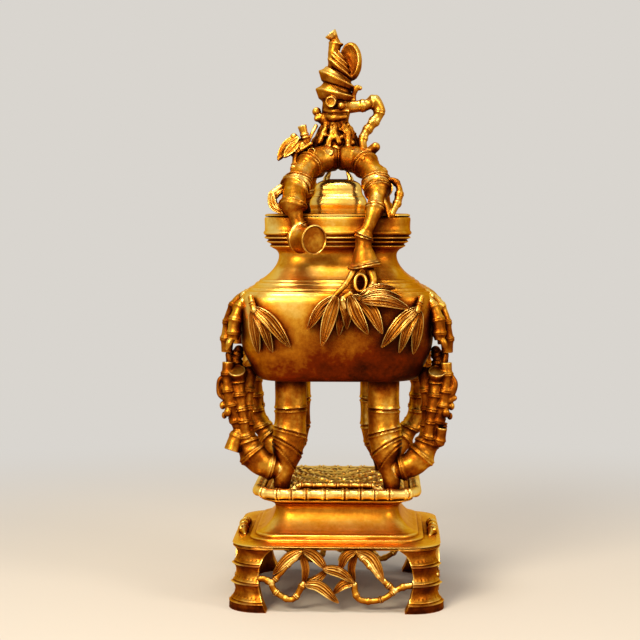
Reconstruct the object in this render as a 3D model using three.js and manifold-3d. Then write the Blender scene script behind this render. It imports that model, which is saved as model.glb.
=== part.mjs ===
// Bamboo-form incense burner in gilt bronze: a stand, a burner that stands on its tray, and a lid
// whose handle is a bamboo arch. Millimetres, +Z up, the front faces -Y. The origin is the middle
// of the plane that the feet rest on.
import * as THREE from "three";
import { mergeVertices } from "three/addons/utils/BufferGeometryUtils.js";
import Module from "manifold-3d";

// Clearance between pieces that rest on, wrap or meet each other.
const seatGap = 0.3;

// Stand
const footReach = 48;
const footWall = 8;
const footHeight = 28.3;
const footBase = 3.4;
const footWaist = 1.5;
const footLedge = 0.9;
const archwayHalf = 34;
const archwayToe = 30.4;
const archwayCrown = 27.4;
const plateHalf = 47;
const plateThickness = 1.8;
const stepHalf = 40.6;
const stepHeight = 1.4;
const waistHalf = 29.6;
const plinthHeight = 16.7;
const plinthWall = 3;
const standRound = 0.3;
const apronDepth = 2.4;
const apronSetback = 2.2;
const apronRail = 1.2;
const apronDrawnHalf = 34;
const apronDrawnHeight = 28.3;
const apronStem = 1.15;
const apronLeaf = 1.8;
const lipHalf = 34.4;
const lipThickness = 2.3;
const floorRise = 3.4;
const ringHalf = 35.5;
const ringRadius = 2.6;
const ringRibs = 36;
const ringSides = 6;
const rodRadius = 1.7;
const rodLength = 33;
const matHalf = 25.2;
const matHeight = 3.2;

// Burner
const legHeight = 48.9;
const legSpread = 21;
const legRadius = 7.2;
const sideReach = 45.6;
const sideHeight = 53.5;
const sideRadius = 4.6;
const backCulmTurn = 33;
const vesselHeight = 73.3;
const vesselFootHalf = 36.6;
const bellyHalf = 44;
const neckHalf = 26.85;
const rimHalf = 33.45;
const vesselWall = 2.6;
const vesselRound = 0.4;
const bellyHeight = 28;
const shoulderHeight = 37.4;
const neckHeight = 55.6;
const ridgePitch = 1.95;
const twigRadius = 2.7;
const innerShift = 4;
const leafThickness = 1.5;

// Lid
const lidThickness = 1.2;
const tongueDepth = 5;
const domeHalf = 13.2;
const domeHeight = 15.7;
const domeStep = 0.82;
const domeWall = 1.6;
const ventHalf = 4.4;
const archRise = 9.7;
const archRadius = 6.3;
const archSpread = 18;
const archForward = 25;
const archDrop = 14;
const budRadius = 2.5;
const hangClear = 5.05;
const trunkRadius = 7;
const armRadius = 2.7;
const finialHeight = 52.7;

// Heights that follow from the sizes above.
const plateZ = footHeight + seatGap;
const waistTop = plateZ + plinthHeight;
const deckZ = waistTop + seatGap;
const lipTop = deckZ + lipThickness;
const floorTop = lipTop + floorRise;
const ringZ = lipTop + seatGap + ringRadius;
const burnerZ = floorTop + seatGap;
const vesselZ = burnerZ + legHeight;
const rimTop = vesselZ + vesselHeight;
const lidZ = rimTop + seatGap;
const domeZ = lidZ + lidThickness + seatGap;
const domeTop = domeZ + domeHeight;
const archZ = domeTop + archRise;
const bellyZ = vesselZ + bellyHeight;
const shoulderZ = vesselZ + shoulderHeight;
const neckZ = vesselZ + neckHeight;
const hangForward = rimHalf + hangClear;

const culmSides = 7;
const cornerSteps = 3;
const vesselCornerSteps = 3;

const wasm = await Module();
wasm.setup();

const v = (x, y, z) => new THREE.Vector3(x, y, z);

// Closed surfaces from rings of points. Each ring runs counter-clockwise about the way of travel,
// and the row of rings either closes on itself or ends in a point at each end.
function skin(rings, ends) {
  const count = rings[0].length;
  const points = rings.flat();
  const faces = [];
  const bands = ends ? rings.length - 1 : rings.length;
  for (let band = 0; band < bands; band += 1) {
    const here = band * count;
    const there = ((band + 1) % rings.length) * count;
    for (let k = 0; k < count; k += 1) {
      const next = (k + 1) % count;
      faces.push(here + k, here + next, there + next);
      faces.push(here + k, there + next, there + k);
    }
  }
  if (ends) {
    const first = points.length;
    const lastRing = (rings.length - 1) * count;
    points.push(ends[0], ends[1]);
    for (let k = 0; k < count; k += 1) {
      const next = (k + 1) % count;
      faces.push(first, next, k);
      faces.push(first + 1, lastRing + k, lastRing + next);
    }
  }
  const geometry = new THREE.BufferGeometry();
  const positions = points.flatMap((point) => point.toArray());
  geometry.setAttribute("position", new THREE.Float32BufferAttribute(positions, 3));
  geometry.setIndex(faces);
  return geometry;
}

// A closed geometry as a solid that can be joined and cut.
function solid(geometry) {
  const bare = geometry.clone();
  bare.deleteAttribute("normal");
  bare.deleteAttribute("uv");
  const merged = mergeVertices(bare, 1e-4);
  const vertProperties = new Float32Array(merged.attributes.position.array);
  const triVerts = new Uint32Array(merged.index.array);
  return new wasm.Manifold(new wasm.Mesh({ numProp: 3, vertProperties, triVerts }));
}

function fuse(parts) {
  return parts.reduce((whole, part) => whole.add(part));
}

function trim(body, cutters) {
  return cutters.reduce((rest, cutter) => rest.subtract(cutter), body);
}

function box(from, to) {
  const size = to.clone().sub(from);
  const geometry = new THREE.BoxGeometry(size.x, size.y, size.z);
  const middle = from.clone().add(to).multiplyScalar(0.5);
  return solid(geometry.translate(middle.x, middle.y, middle.z));
}

function ball(centre, radii, detail = 1) {
  const geometry = new THREE.IcosahedronGeometry(1, detail).scale(radii.x, radii.y, radii.z);
  return solid(geometry.translate(centre.x, centre.y, centre.z));
}

// A square with rounded corners at one height.
function squareRing(half, z, round, centre = v(0, 0, 0), steps = cornerSteps) {
  const corner = half * round;
  const flat = half - corner;
  const ring = [];
  for (let quarter = 0; quarter < 4; quarter += 1) {
    const sx = quarter === 0 || quarter === 3 ? 1 : -1;
    const sy = quarter < 2 ? 1 : -1;
    for (let k = 0; k <= steps; k += 1) {
      const angle = (quarter + k / steps) * (Math.PI / 2);
      const x = sx * flat + corner * Math.cos(angle);
      const y = sy * flat + corner * Math.sin(angle);
      ring.push(v(centre.x + x, centre.y + y, z));
    }
  }
  return ring;
}

// A profile of half widths and heights carried round a rounded square. A wall's profile closes on
// itself, up the outside and down the inside. A filled one is closed at its two ends.
function squareWall(profile, round) {
  return solid(skin(profile.map(([half, z]) => squareRing(half, z, round))));
}

function squareSolid(profile, round, centre = v(0, 0, 0), steps = cornerSteps) {
  const rings = profile.map(([half, z]) => squareRing(half, z, round, centre, steps));
  const last = profile[profile.length - 1];
  const ends = [v(centre.x, centre.y, profile[0][1]), v(centre.x, centre.y, last[1])];
  return solid(skin(rings, ends));
}

// Points on a smooth line through a few half widths and heights.
function bend(points, steps) {
  const curve = new THREE.SplineCurve(points.map(([half, z]) => new THREE.Vector2(half, z)));
  return curve.getPoints(steps).map((point) => [point.x, point.y]);
}

// The value at a fraction of the way along a list of evenly spaced values.
function along(values, t) {
  const place = t * (values.length - 1);
  const index = Math.min(Math.floor(place), values.length - 2);
  return THREE.MathUtils.lerp(values[index], values[index + 1], place - index);
}

// A round culm along a smooth path: its radius follows a list of values from end to end, and at
// each node it swells to a narrow ridge. Grow makes it thicker all over, for cutting a seat.
function culm(path, radii, options = {}) {
  const { nodes = [], swell = 0.14, band = 1.5, steps = 4, sides = culmSides, grow = 0 } = options;
  const curve = new THREE.CatmullRomCurve3(path, false, "centripetal");
  const length = curve.getLength();
  const stations = new Set();
  for (let k = 0; k <= steps; k += 1) {
    const t = k / steps;
    if (nodes.every((node) => Math.abs(node - t) * length > 1.2 * band)) stations.add(t);
  }
  for (const node of nodes) {
    for (const shift of [-1, 0, 1]) {
      stations.add(THREE.MathUtils.clamp(node + (shift * band) / length, 0, 1));
    }
  }
  stations.add(0);
  stations.add(1);
  const places = [...stations].sort((a, b) => a - b);
  let previous = curve.getTangentAt(0);
  let side = Math.abs(previous.z) > 0.9 ? v(1, 0, 0) : v(0, 0, 1);
  const rings = places.map((t) => {
    const tangent = curve.getTangentAt(t);
    const turn = new THREE.Quaternion().setFromUnitVectors(previous, tangent);
    side = side.applyQuaternion(turn);
    side.sub(tangent.clone().multiplyScalar(side.dot(tangent))).normalize();
    previous = tangent;
    const over = tangent.clone().cross(side);
    const ridged = nodes.some((node) => Math.abs(node - t) * length < 0.5 * band);
    const radius = along(radii, t) * (ridged ? 1 + swell : 1) + grow;
    const centre = curve.getPointAt(t);
    return Array.from({ length: sides }, (_, k) => {
      const angle = (2 * Math.PI * k) / sides;
      const spoke = side.clone().multiplyScalar(radius * Math.cos(angle));
      return spoke.addScaledVector(over, radius * Math.sin(angle)).add(centre);
    });
  });
  const start = path[0].clone().addScaledVector(curve.getTangentAt(0), -grow);
  const finish = path[path.length - 1].clone().addScaledVector(curve.getTangentAt(1), grow);
  return solid(skin(rings, [start, finish]));
}

// A bamboo leaf: a long blade pointed at both ends, with a raised mid-rib on the side it faces.
function leaf(base, tip, facing, halfWidth, thickness = leafThickness) {
  const forward = tip.clone().sub(base).normalize();
  const up = facing.clone().addScaledVector(forward, -facing.dot(forward)).normalize();
  const side = up.clone().cross(forward);
  const shape = [[0.27, 0.95], [0.62, 0.85]];
  const section = [[1, -0.3], [0, 0.7], [-1, -0.3]];
  const rings = shape.map(([t, width]) => {
    const centre = base.clone().lerp(tip, t);
    const depth = thickness * (0.45 + 0.55 * width);
    return section.map(([across, out]) => {
      const point = centre.clone().addScaledVector(side, across * halfWidth * width);
      return point.addScaledVector(up, out * depth);
    });
  });
  return solid(skin(rings, [base, tip]));
}

const model = new THREE.Group();

// Gilt bronze: bright where it is rubbed, redder in the sheltered pieces.
function gilt(color, roughness) {
  return new THREE.MeshStandardMaterial({ color, roughness, metalness: 1 });
}

function add(name, body, finish) {
  const mesh = body.getMesh();
  const geometry = new THREE.BufferGeometry();
  geometry.setAttribute("position", new THREE.Float32BufferAttribute(mesh.vertProperties, 3));
  geometry.setIndex([...mesh.triVerts]);
  const piece = new THREE.Mesh(geometry, finish());
  piece.name = name;
  model.add(piece);
}

const polished = () => gilt(0xd8a032, 0.3);
const bamboo = () => gilt(0xc8882a, 0.4);
const foliage = () => gilt(0xd09a34, 0.42);

const corners = [
  { name: "front_left", sx: -1, sy: -1 },
  { name: "front_right", sx: 1, sy: -1 },
  { name: "back_right", sx: 1, sy: 1 },
  { name: "back_left", sx: -1, sy: 1 },
];

// Corner feet: the corners of one rounded-square skirt of three flared bamboo joints, parted by an
// archway in each side. Grow makes an archway narrower, to fit what hangs in it.
function archwayShape(grow) {
  const side = [
    [archwayToe, -1], [archwayToe, 0.6], [archwayToe + 1.8, footHeight * 0.15],
    [archwayHalf - 0.4, footHeight * 0.34], [archwayHalf, footHeight * 0.55],
    [archwayHalf - 0.9, footHeight * 0.74], [archwayHalf - 3, footHeight * 0.88],
    [archwayCrown, footHeight * 0.985], [archwayCrown, footHeight + 1],
  ].map(([x, z]) => [x - grow, z]);
  const outline = [...side, ...side.map(([x, z]) => [-x, z]).reverse()];
  return new THREE.Shape(outline.map(([x, z]) => new THREE.Vector2(x, z)));
}

function archway(turn, grow) {
  const depth = 3 * footReach;
  const geometry = new THREE.ExtrudeGeometry(archwayShape(grow), { depth, bevelEnabled: false });
  return solid(geometry.translate(0, 0, -depth / 2).rotateX(Math.PI / 2).rotateZ(turn));
}

const jointHeight = (footHeight - footBase) / 3;
function skirt() {
  const outline = [[footReach, 0], [footReach, footBase * 0.8]];
  for (let joint = 0; joint < 3; joint += 1) {
    const low = footBase + joint * jointHeight;
    const waist = footReach - footWaist;
    outline.push([waist, low + jointHeight * 0.55], [waist + footLedge * 0.4, low + jointHeight * 0.93]);
    if (joint < 2) outline.push([waist + footLedge, low + jointHeight]);
  }
  outline.push([footReach - footWaist + footLedge, footHeight]);
  const outside = squareSolid(outline, standRound);
  const hollowHalf = footReach - footWall;
  const hollow = squareSolid([[hollowHalf, -1], [hollowHalf, footHeight + 1]], standRound);
  return trim(outside, [hollow, archway(0, 0), archway(Math.PI / 2, 0)]);
}

const feet = skirt();
for (const { name, sx, sy } of corners) {
  const reach = v(sx * 2 * footReach, sy * 2 * footReach, 2 * footHeight);
  const quarter = box(reach.clone().min(v(0, 0, -1)), reach.clone().max(v(0, 0, 0)));
  add(`foot_${name}`, feet.intersect(quarter), bamboo);
}

// Aprons: pierced panels of jointed stems and ribbed leaves, hung from a rail under the plate and
// let in between the feet. Each is drawn as seen from outside, x to the right and z up.
const apronStems = [
  [[-34, 14.5], [-28.2, 13.2], [-21.7, 20.2], [-15, 26.8]],
  [[-28.2, 13.2], [-23.9, 7.2], [-18.2, 5.8], [-14, 12.2]],
  [[34, 11.8], [26, 9.6], [17.3, 5.4], [9.6, 6.4], [7.6, 13]],
  [[10, 26.6], [17.5, 18], [26, 9.6]],
];
const apronLeaves = [
  [[-14.6, 27.2], [-27.5, 16.8]],
  [[-14.8, 27], [-14.6, 11.2]],
  [[-14.2, 27.2], [-3.4, 18.8]],
  [[-15, 12.6], [1, 4.4]],
  [[-15, 11.8], [-3.2, 19.4]],
  [[-5.6, 19.9], [8.6, 12.9]],
  [[8.6, 13.6], [-0.6, 7.4]],
  [[9.4, 27.2], [2, 17]],
  [[9.4, 27.2], [8.4, 10.6]],
  [[9, 27.2], [21, 13]],
];

const apronY = -(footReach - apronSetback - apronDepth / 2);
const onApron = ([x, z]) => v(
  (x * archwayHalf) / apronDrawnHalf,
  apronY,
  (z * footHeight) / apronDrawnHeight,
);
const outward = v(0, -1, 0);

function apronPanel() {
  const parts = apronStems.map((stem) => culm(stem.map(onApron), [apronStem, apronStem], {
    nodes: [0.5], swell: 0.35, band: 0.9, steps: 2, sides: 4,
  }));
  for (const [base, tip] of apronLeaves) {
    parts.push(leaf(onApron(base), onApron(tip), outward, apronLeaf, apronDepth));
  }
  parts.push(box(
    v(-archwayHalf, apronY - apronDepth / 3, footHeight - apronRail),
    v(archwayHalf, apronY + apronDepth / 2, footHeight),
  ));
  return fuse(parts).intersect(archway(0, seatGap));
}

const apron = apronPanel();
const apronTurns = { front: 0, right: 1, back: 2, left: 3 };
for (const [side, turns] of Object.entries(apronTurns)) {
  add(`apron_${side}`, apron, foliage);
  model.children[model.children.length - 1].rotation.z = turns * (Math.PI / 2);
}

// Plinth: a plate over the feet, two step mouldings and a concave waist, open underneath.
const stepZ = plateZ + plateThickness;
const waistZ = stepZ + 2 * stepHeight;
const waistLine = bend([
  [stepHalf - 3.4, waistZ],
  [waistHalf + 1.9, waistZ + (waistTop - waistZ) * 0.28],
  [waistHalf, waistZ + (waistTop - waistZ) * 0.62],
  [waistHalf + 0.3, waistZ + (waistTop - waistZ) * 0.84],
  [waistHalf + 1.8, waistTop],
], 7);
const plinthProfile = [
  [plateHalf - 0.5, plateZ],
  [plateHalf, plateZ + plateThickness * 0.3],
  [plateHalf - 0.5, plateZ + plateThickness * 0.6],
  [stepHalf, stepZ],
  [stepHalf - 0.3, stepZ + stepHeight * 0.8],
  [stepHalf - 1.4, stepZ + stepHeight],
  [stepHalf - 1.8, stepZ + stepHeight * 1.8],
  ...waistLine,
  [waistHalf + 1.8 - plinthWall, waistTop],
  [waistHalf - plinthWall, waistZ + (waistTop - waistZ) * 0.6],
  [stepHalf - 3.4 - plinthWall, waistZ - stepHeight],
  [stepHalf - 3.4 - plinthWall, plateZ],
];
add("stand_plinth", squareWall(plinthProfile, standRound), polished);

// Tray: a deck with a thin lip, a bamboo culm bent round it, a short rod and a mat of roots.
const deckProfile = [
  [waistHalf + 1.8, deckZ],
  [lipHalf - 0.8, deckZ + lipThickness / 2],
  [lipHalf, deckZ + lipThickness * 0.7],
  [lipHalf - 0.2, lipTop],
  [ringHalf - ringRadius - seatGap, lipTop],
  [ringHalf - ringRadius - seatGap, floorTop],
];
add("tray_deck", squareSolid(deckProfile, standRound), polished);

function trayRing() {
  const path = squareRing(ringHalf, ringZ, standRound);
  const curve = new THREE.CatmullRomCurve3(path, true, "centripetal");
  const rings = [];
  for (let rib = 0; rib < 2 * ringRibs; rib += 1) {
    const t = rib / (2 * ringRibs);
    const centre = curve.getPointAt(t);
    const across = curve.getTangentAt(t).cross(v(0, 0, 1)).normalize();
    const radius = ringRadius * (rib % 2 === 0 ? 1 : 0.86);
    rings.push(Array.from({ length: ringSides }, (_, k) => {
      const angle = (2 * Math.PI * (k + 0.5)) / ringSides;
      const spoke = across.clone().multiplyScalar(radius * Math.cos(angle));
      return spoke.add(v(0, 0, -radius * Math.sin(angle))).add(centre);
    }));
  }
  return solid(skin(rings));
}
add("tray_ring", trayRing(), bamboo);

const rodY = -(ringHalf - ringRadius - 2 * seatGap - rodRadius * 1.3);
const rodZ = floorTop + seatGap + rodRadius * 1.14;
add("tray_rod", culm(
  [v(-rodLength / 2, rodY, rodZ), v(rodLength / 2, rodY, rodZ)],
  [rodRadius, rodRadius],
  { nodes: [0.25, 0.5, 0.75], band: 0.9, steps: 1, sides: 7 },
), bamboo);

// Legs: bamboo culms that bend in to a narrow root on the tray. Grow cuts their seats.
const legLean = 3.8;
const legX = ({ name }) => legSpread - (name === "back_right" ? innerShift : 0);
function legPath(corner) {
  const { sx, sy } = corner;
  const at = (lean, z) => v(sx * (legX(corner) + lean), sy * (legSpread + lean * 0.8), z);
  return [
    at(legLean, burnerZ - 3),
    at(legLean * 0.9, burnerZ + legHeight * 0.12),
    at(legLean * 0.45, burnerZ + legHeight * 0.3),
    at(legLean * 0.1, burnerZ + legHeight * 0.5),
    at(0, burnerZ + legHeight * 0.75),
    at(0, vesselZ + 2 * vesselWall),
  ];
}

function legCulm(corner, grow = 0) {
  const root = legRadius * 0.48;
  return culm(legPath(corner), [root, root * 1.5, legRadius, legRadius, legRadius, legRadius * 1.04], {
    nodes: [0.27, 0.38, 0.5, 0.66], swell: 0.09, steps: 3, sides: 7, grow,
  });
}

// The outside of the vessel as a filled form, grown by a clearance to cut what is set on it.
const shoulderHalf = bellyHalf - 0.3;
const collarHalf = bellyHalf - 9.5;
const ridgeZ = neckZ + 4;
function vesselOutside(grow) {
  const body = bend([
    [vesselFootHalf, vesselZ + 1.5],
    [vesselFootHalf + 2.6, vesselZ + 6],
    [THREE.MathUtils.lerp(vesselFootHalf, bellyHalf, 0.8), vesselZ + 14],
    [bellyHalf, bellyZ],
    [shoulderHalf, shoulderZ],
  ], 6);
  const neck = bend([[collarHalf, shoulderZ + 8.6], [neckHalf + 3.4, neckZ - 7.2],
    [neckHalf + 0.6, neckZ - 3], [neckHalf, neckZ], [neckHalf + 2.6, ridgeZ - 0.8]], 5);
  const ridges = [];
  for (let k = 0; k < 3; k += 1) {
    const z = ridgeZ + k * ridgePitch;
    const half = THREE.MathUtils.lerp(neckHalf + 3.2, rimHalf - 0.4, k / 2);
    ridges.push([half - 0.5, z], [half + 0.3, z + ridgePitch / 2]);
  }
  const profile = [
    [vesselFootHalf - 5.6, vesselZ],
    ...body,
    [bellyHalf - 2.8, shoulderZ + 3],
    [bellyHalf - 4.2, shoulderZ + 4.3],
    ...neck,
    ...ridges,
    [rimHalf + 0.3, ridgeZ + 3 * ridgePitch],
    [rimHalf - 0.3, ridgeZ + 3 * ridgePitch + 1],
    [rimHalf - 0.3, rimTop],
  ];
  return profile.map(([half, z], index) => [half + grow, index === 0 ? z - grow : z]);
}
const vesselForm = squareSolid(vesselOutside(seatGap), vesselRound, v(0, 0, 0), vesselCornerSteps);

function vesselBody() {
  const outside = vesselOutside(0);
  const inner = [
    [rimHalf - vesselWall, rimTop],
    [rimHalf - vesselWall, ridgeZ + 3 * ridgePitch],
    [neckHalf - vesselWall, neckZ],
    [collarHalf - vesselWall - 1, shoulderZ + 8],
    [shoulderHalf - vesselWall - 2, shoulderZ],
    [bellyHalf - vesselWall, bellyZ],
    [vesselFootHalf - vesselWall + 2, vesselZ + 8],
    [vesselFootHalf - vesselWall - 4, vesselZ + 2 * vesselWall],
  ];
  return squareSolid([...outside, ...inner], vesselRound, v(0, 0, 0), vesselCornerSteps);
}
add("vessel", vesselBody(), polished);

const underBurner = box(v(-bellyHalf, -bellyHalf, 0), v(bellyHalf, bellyHalf, burnerZ));
for (const corner of corners) {
  add(`leg_${corner.name}`, trim(legCulm(corner), [underBurner, vesselForm]), bamboo);
}

// Mat of roots: ridges that cross in two directions on the tray floor, cut clear of the legs.
function trayMat() {
  const cells = 8;
  const base = floorTop + seatGap;
  const front = rodY + rodRadius * 1.2 + seatGap;
  const rows = [];
  for (let j = 0; j <= cells; j += 1) {
    const y = THREE.MathUtils.lerp(front, matHalf, j / cells);
    const row = [];
    for (let i = 0; i <= cells; i += 1) {
      const x = THREE.MathUtils.lerp(-matHalf, matHalf, i / cells);
      const weave = 0.5 + 0.25 * Math.cos(i * Math.PI) + 0.25 * Math.cos(j * Math.PI * 1.5 + i);
      row.push(v(x, y, base + matHeight * (0.55 + 0.45 * weave)));
    }
    rows.push(row);
  }
  const ring = (row) => [...row, v(matHalf, row[0].y, base), v(-matHalf, row[0].y, base)];
  const lastRow = rows[rows.length - 1];
  const ends = [v(0, rows[0][0].y, base + matHeight / 4), v(0, lastRow[0].y, base + matHeight / 4)];
  return solid(skin(rows.map(ring), ends));
}

// Side culms: from each leg's root out and up to a cut stump, with stubs, a bud and a hooked twig.
// The back pair is turned about its legs towards the corners, so that it shows between the front ones.
function besideLeg(corner, x, y, z) {
  const { sx, sy } = corner;
  const turn = sy > 0 ? THREE.MathUtils.degToRad(backCulmTurn) : 0;
  const from = v(x - legX(corner), y - legSpread, 0).applyAxisAngle(v(0, 0, 1), turn);
  return v(sx * (legX(corner) + from.x), sy * (legSpread + from.y), z);
}

function sidePath(corner) {
  const at = (x, y, share) => besideLeg(corner, x, y, burnerZ + sideHeight * share);
  return [
    at(legX(corner) + 5.6, legSpread + 3, 0.18),
    at(sideReach * 0.76, legSpread + 3.4, 0.228),
    at(sideReach * 0.88, legSpread + 3.8, 0.355),
    at(sideReach * 0.95, legSpread + 4, 0.505),
    at(sideReach * 0.98, legSpread + 4, 0.71),
    at(sideReach, legSpread + 4, 1),
  ];
}

function sideCulm(corner, grow = 0) {
  const radii = [1.2, 1.26, 1.1, 0.95, 0.88, 0.86, 0.94].map((share) => sideRadius * share);
  return culm(sidePath(corner), radii, {
    nodes: [0.3, 0.5, 0.7, 0.9], swell: 0.14, band: 1.2, steps: 1, sides: 5, grow,
  });
}

function sideStubs(corner) {
  const top = burnerZ + sideHeight;
  const at = (x, y, drop) => besideLeg(corner, sideReach + x, legSpread + 4 + y, top - drop);
  return [
    culm([at(-3, 1, 25.5), at(4, 3, 36.5)], [2, 3.4], { steps: 1, sides: 5 }),
    culm([at(-1, 1.6, 21.5), at(4.6, 3, 12.5), at(6.2, 3, 4.5), at(4.6, 2.4, -4.5)], [2.4, 2.2, 2.1, 2.4], {
      nodes: [0.4, 0.72], swell: 0.25, band: 1, steps: 1, sides: 5,
    }),
    ball(at(6, 2, 8.1), v(2.2, 2.4, 3.6), 0),
    ball(at(4.4, 4.2, 18.5), v(2, 2, 2.2), 0),
  ];
}

const rootCutters = corners.flatMap((corner) => [
  legCulm(corner, 2 * seatGap),
  sideCulm(corner, 2 * seatGap),
]);
add("tray_mat", trim(trayMat(), rootCutters), bamboo);

for (const corner of corners) {
  const whole = fuse([sideCulm(corner), ...sideStubs(corner)]);
  add(`culm_${corner.name}`, trim(whole, [legCulm(corner, seatGap)]), bamboo);
}

// The vessel's half width at a height, and the distance from the middle of its front surface at a
// place along its side, so that what lies on it follows it round its corners.
function vesselHalf(z) {
  const outline = vesselOutside(0);
  const above = outline.findIndex((point) => point[1] >= z);
  const [low, high] = [outline[above - 1], outline[above]];
  return THREE.MathUtils.mapLinear(z, low[1], high[1], low[0], high[0]);
}

function vesselFace(x, z) {
  const half = vesselHalf(z);
  const corner = half * vesselRound;
  const past = Math.abs(x) - (half - corner);
  return past <= 0 ? half : half - corner + Math.sqrt(corner ** 2 - past ** 2);
}

// Twigs: two jointed culms that hang from each shoulder corner, outside the belly.
function shoulderTwigs({ sx, sy }, grow = 0) {
  const at = (x, y, z) => v(sx * (bellyHalf + x), sy * (bellyHalf + y), shoulderZ + z);
  const outer = [at(-5, -19, 1.6), at(1.6, -17.5, -2.9), at(4.4, -17, -12.4), at(5.4, -17.5, -24.8)];
  const inner = [at(-7, -15, 1.1), at(-0.2, -11, -4.9), at(1.4, -10.2, -18.4)];
  const options = { swell: 0.2, band: 1, steps: 2, sides: 5, grow };
  return fuse([
    culm(outer, [twigRadius, twigRadius, twigRadius], { ...options, nodes: [0.35, 0.68] }),
    culm(inner, [twigRadius, twigRadius * 0.9], { ...options, nodes: [0.45] }),
    culm([at(1.4, -18, -4), at(0.6, -10.6, -6)], [2, 2], { steps: 1, sides: 5, grow }),
  ]);
}

// Leaves on the shoulder: a spray that starts at the corner and lies along the front of the belly.
function shoulderLeaves({ sx, sy }) {
  const at = (inset, drop, off, level = shoulderZ - drop) => {
    const x = bellyHalf - inset;
    return v(sx * x, sy * (vesselFace(x, level) + off), shoulderZ - drop);
  };
  const face = v(sx * 0.3, sy, 0.1).normalize();
  const off = 2.2;
  return fuse([
    leaf(at(8, 4.4, off), at(24.2, 20.4, off, bellyZ), face, 3),
    leaf(at(8, 5, off), at(16.5, 23.8, off, bellyZ), face, 2.6),
    leaf(at(7.8, 5.4, off), at(10.6, 24.8, off, bellyZ), face, 2.4),
    culm([at(7.2, 1.4, off), at(8, 7, off)], [1.6, 2], { steps: 1, sides: 5 }),
    culm([at(8.2, 5.4, off + 0.8), at(9.6, 5.4, -2)], [2, 2], { steps: 1, sides: 5 }),
  ]);
}

for (const corner of corners) {
  const twigs = trim(shoulderTwigs(corner), [vesselForm]);
  add(`twig_${corner.name}`, twigs, bamboo);
  const leaves = trim(shoulderLeaves(corner), [vesselForm, shoulderTwigs(corner, seatGap)]);
  add(`leaves_${corner.name}`, leaves, foliage);
}

// Lid: a plate over the rim with a tongue inside it, and the stepped dome with its open vent.
const tongueHalf = rimHalf - vesselWall - 2 * seatGap;
const lidProfile = [
  [tongueHalf, lidZ - tongueDepth],
  [tongueHalf, lidZ],
  [rimHalf - 0.5, lidZ],
  [rimHalf - 0.5, lidZ + lidThickness * 0.6],
  [rimHalf - 1.5, lidZ + lidThickness],
  [domeHalf - domeWall - 1, lidZ + lidThickness],
  [domeHalf - domeWall - 1, lidZ],
  [tongueHalf - 1.6, lidZ - lidThickness],
  [tongueHalf - 1.6, lidZ - tongueDepth],
];
add("lid_plate", squareWall(lidProfile, vesselRound), polished);

const stepAt = domeZ + domeHeight * 0.52;
const upperHalf = domeHalf * domeStep;
const domeProfile = [
  [domeHalf - 0.2, domeZ],
  [domeHalf - 0.2, domeZ + domeHeight * 0.22],
  [domeHalf, domeZ + domeHeight * 0.34],
  [domeHalf - 0.9, stepAt - 1],
  [upperHalf + 0.3, stepAt],
  [upperHalf, domeTop - 4.6],
  [upperHalf - 1.2, domeTop - 2.4],
  [upperHalf - 3.4, domeTop - 0.7],
  [ventHalf + 1.4, domeTop],
  [ventHalf, domeTop],
  [ventHalf, domeTop - domeWall],
  [upperHalf - domeWall - 1.6, domeTop - domeWall - 2.4],
  [upperHalf - domeWall, stepAt],
  [domeHalf - domeWall - 0.2, stepAt - 3],
  [domeHalf - domeWall - 0.2, domeZ],
];
function horns(grow) {
  return corners.map(({ sx, sy }) => culm([
    v(sx * (ventHalf + 0.9), sy * ventHalf, domeTop - 1),
    v(sx * (ventHalf - 0.2), sy * ventHalf, domeTop + 3.6),
  ], [1.2, 0.7], { steps: 1, sides: 5, grow }));
}
add("lid_dome", fuse([squareWall(domeProfile, 0.32), ...horns(0)]), polished);
const domeSeat = squareSolid([[ventHalf + 4, domeTop - 3], [ventHalf + 4, domeTop + seatGap]], 0.32);

// Arch: a thick jointed culm bent over the dome from side to side, one at the front and the same
// again behind, turned by half a turn. The two meet face to face over the middle of the dome.
const ways = { front: 1, back: -1 };
const hangTop = archZ - archDrop;
const turned = (way) => (x, y, z) => v(way * x, -way * y, z);

function archCulm(way, grow = 0) {
  const at = turned(way);
  return culm([
    at(-archSpread, archForward, hangTop),
    at(-archSpread * 0.62, archForward * 0.5, archZ - archDrop * 0.24),
    at(0, archForward * 0.2, archZ),
    at(archSpread * 0.62, archForward * 0.5, archZ - archDrop * 0.24),
    at(archSpread, archForward, hangTop),
  ], [archRadius * 0.94, archRadius, archRadius, archRadius * 0.94], {
    nodes: [0.04, 0.27, 0.73, 0.96], swell: 0.09, steps: 6, grow,
  });
}

function archBuds(way, grow = 0) {
  const at = turned(way);
  const radii = v(budRadius + grow, budRadius + grow, budRadius + grow);
  return fuse([
    ball(at(-7.2, 13, archZ + 1.8), radii, 0),
    ball(at(16.4, 12, archZ + 5.4), radii, 0),
    culm([at(14, 12, archZ - 1), at(18.4, 14, archZ + 2.8)], [3.4, 2.8], { steps: 1, sides: 6, grow }),
  ]);
}

function pastMiddle(way) {
  const reach = 3 * archRadius;
  const near = way * (seatGap / 2);
  const low = v(-archSpread * 2, Math.min(-near, way * reach), lidZ);
  return box(low, v(archSpread * 2, Math.max(-near, way * reach), archZ + reach));
}

const domeCutters = [domeSeat, ...horns(seatGap)];
for (const [side, way] of Object.entries(ways)) {
  const arch = fuse([archCulm(way), archBuds(way)]);
  add(`arch_${side}`, trim(arch, [...domeCutters, pastMiddle(way)]), bamboo);
}

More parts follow.
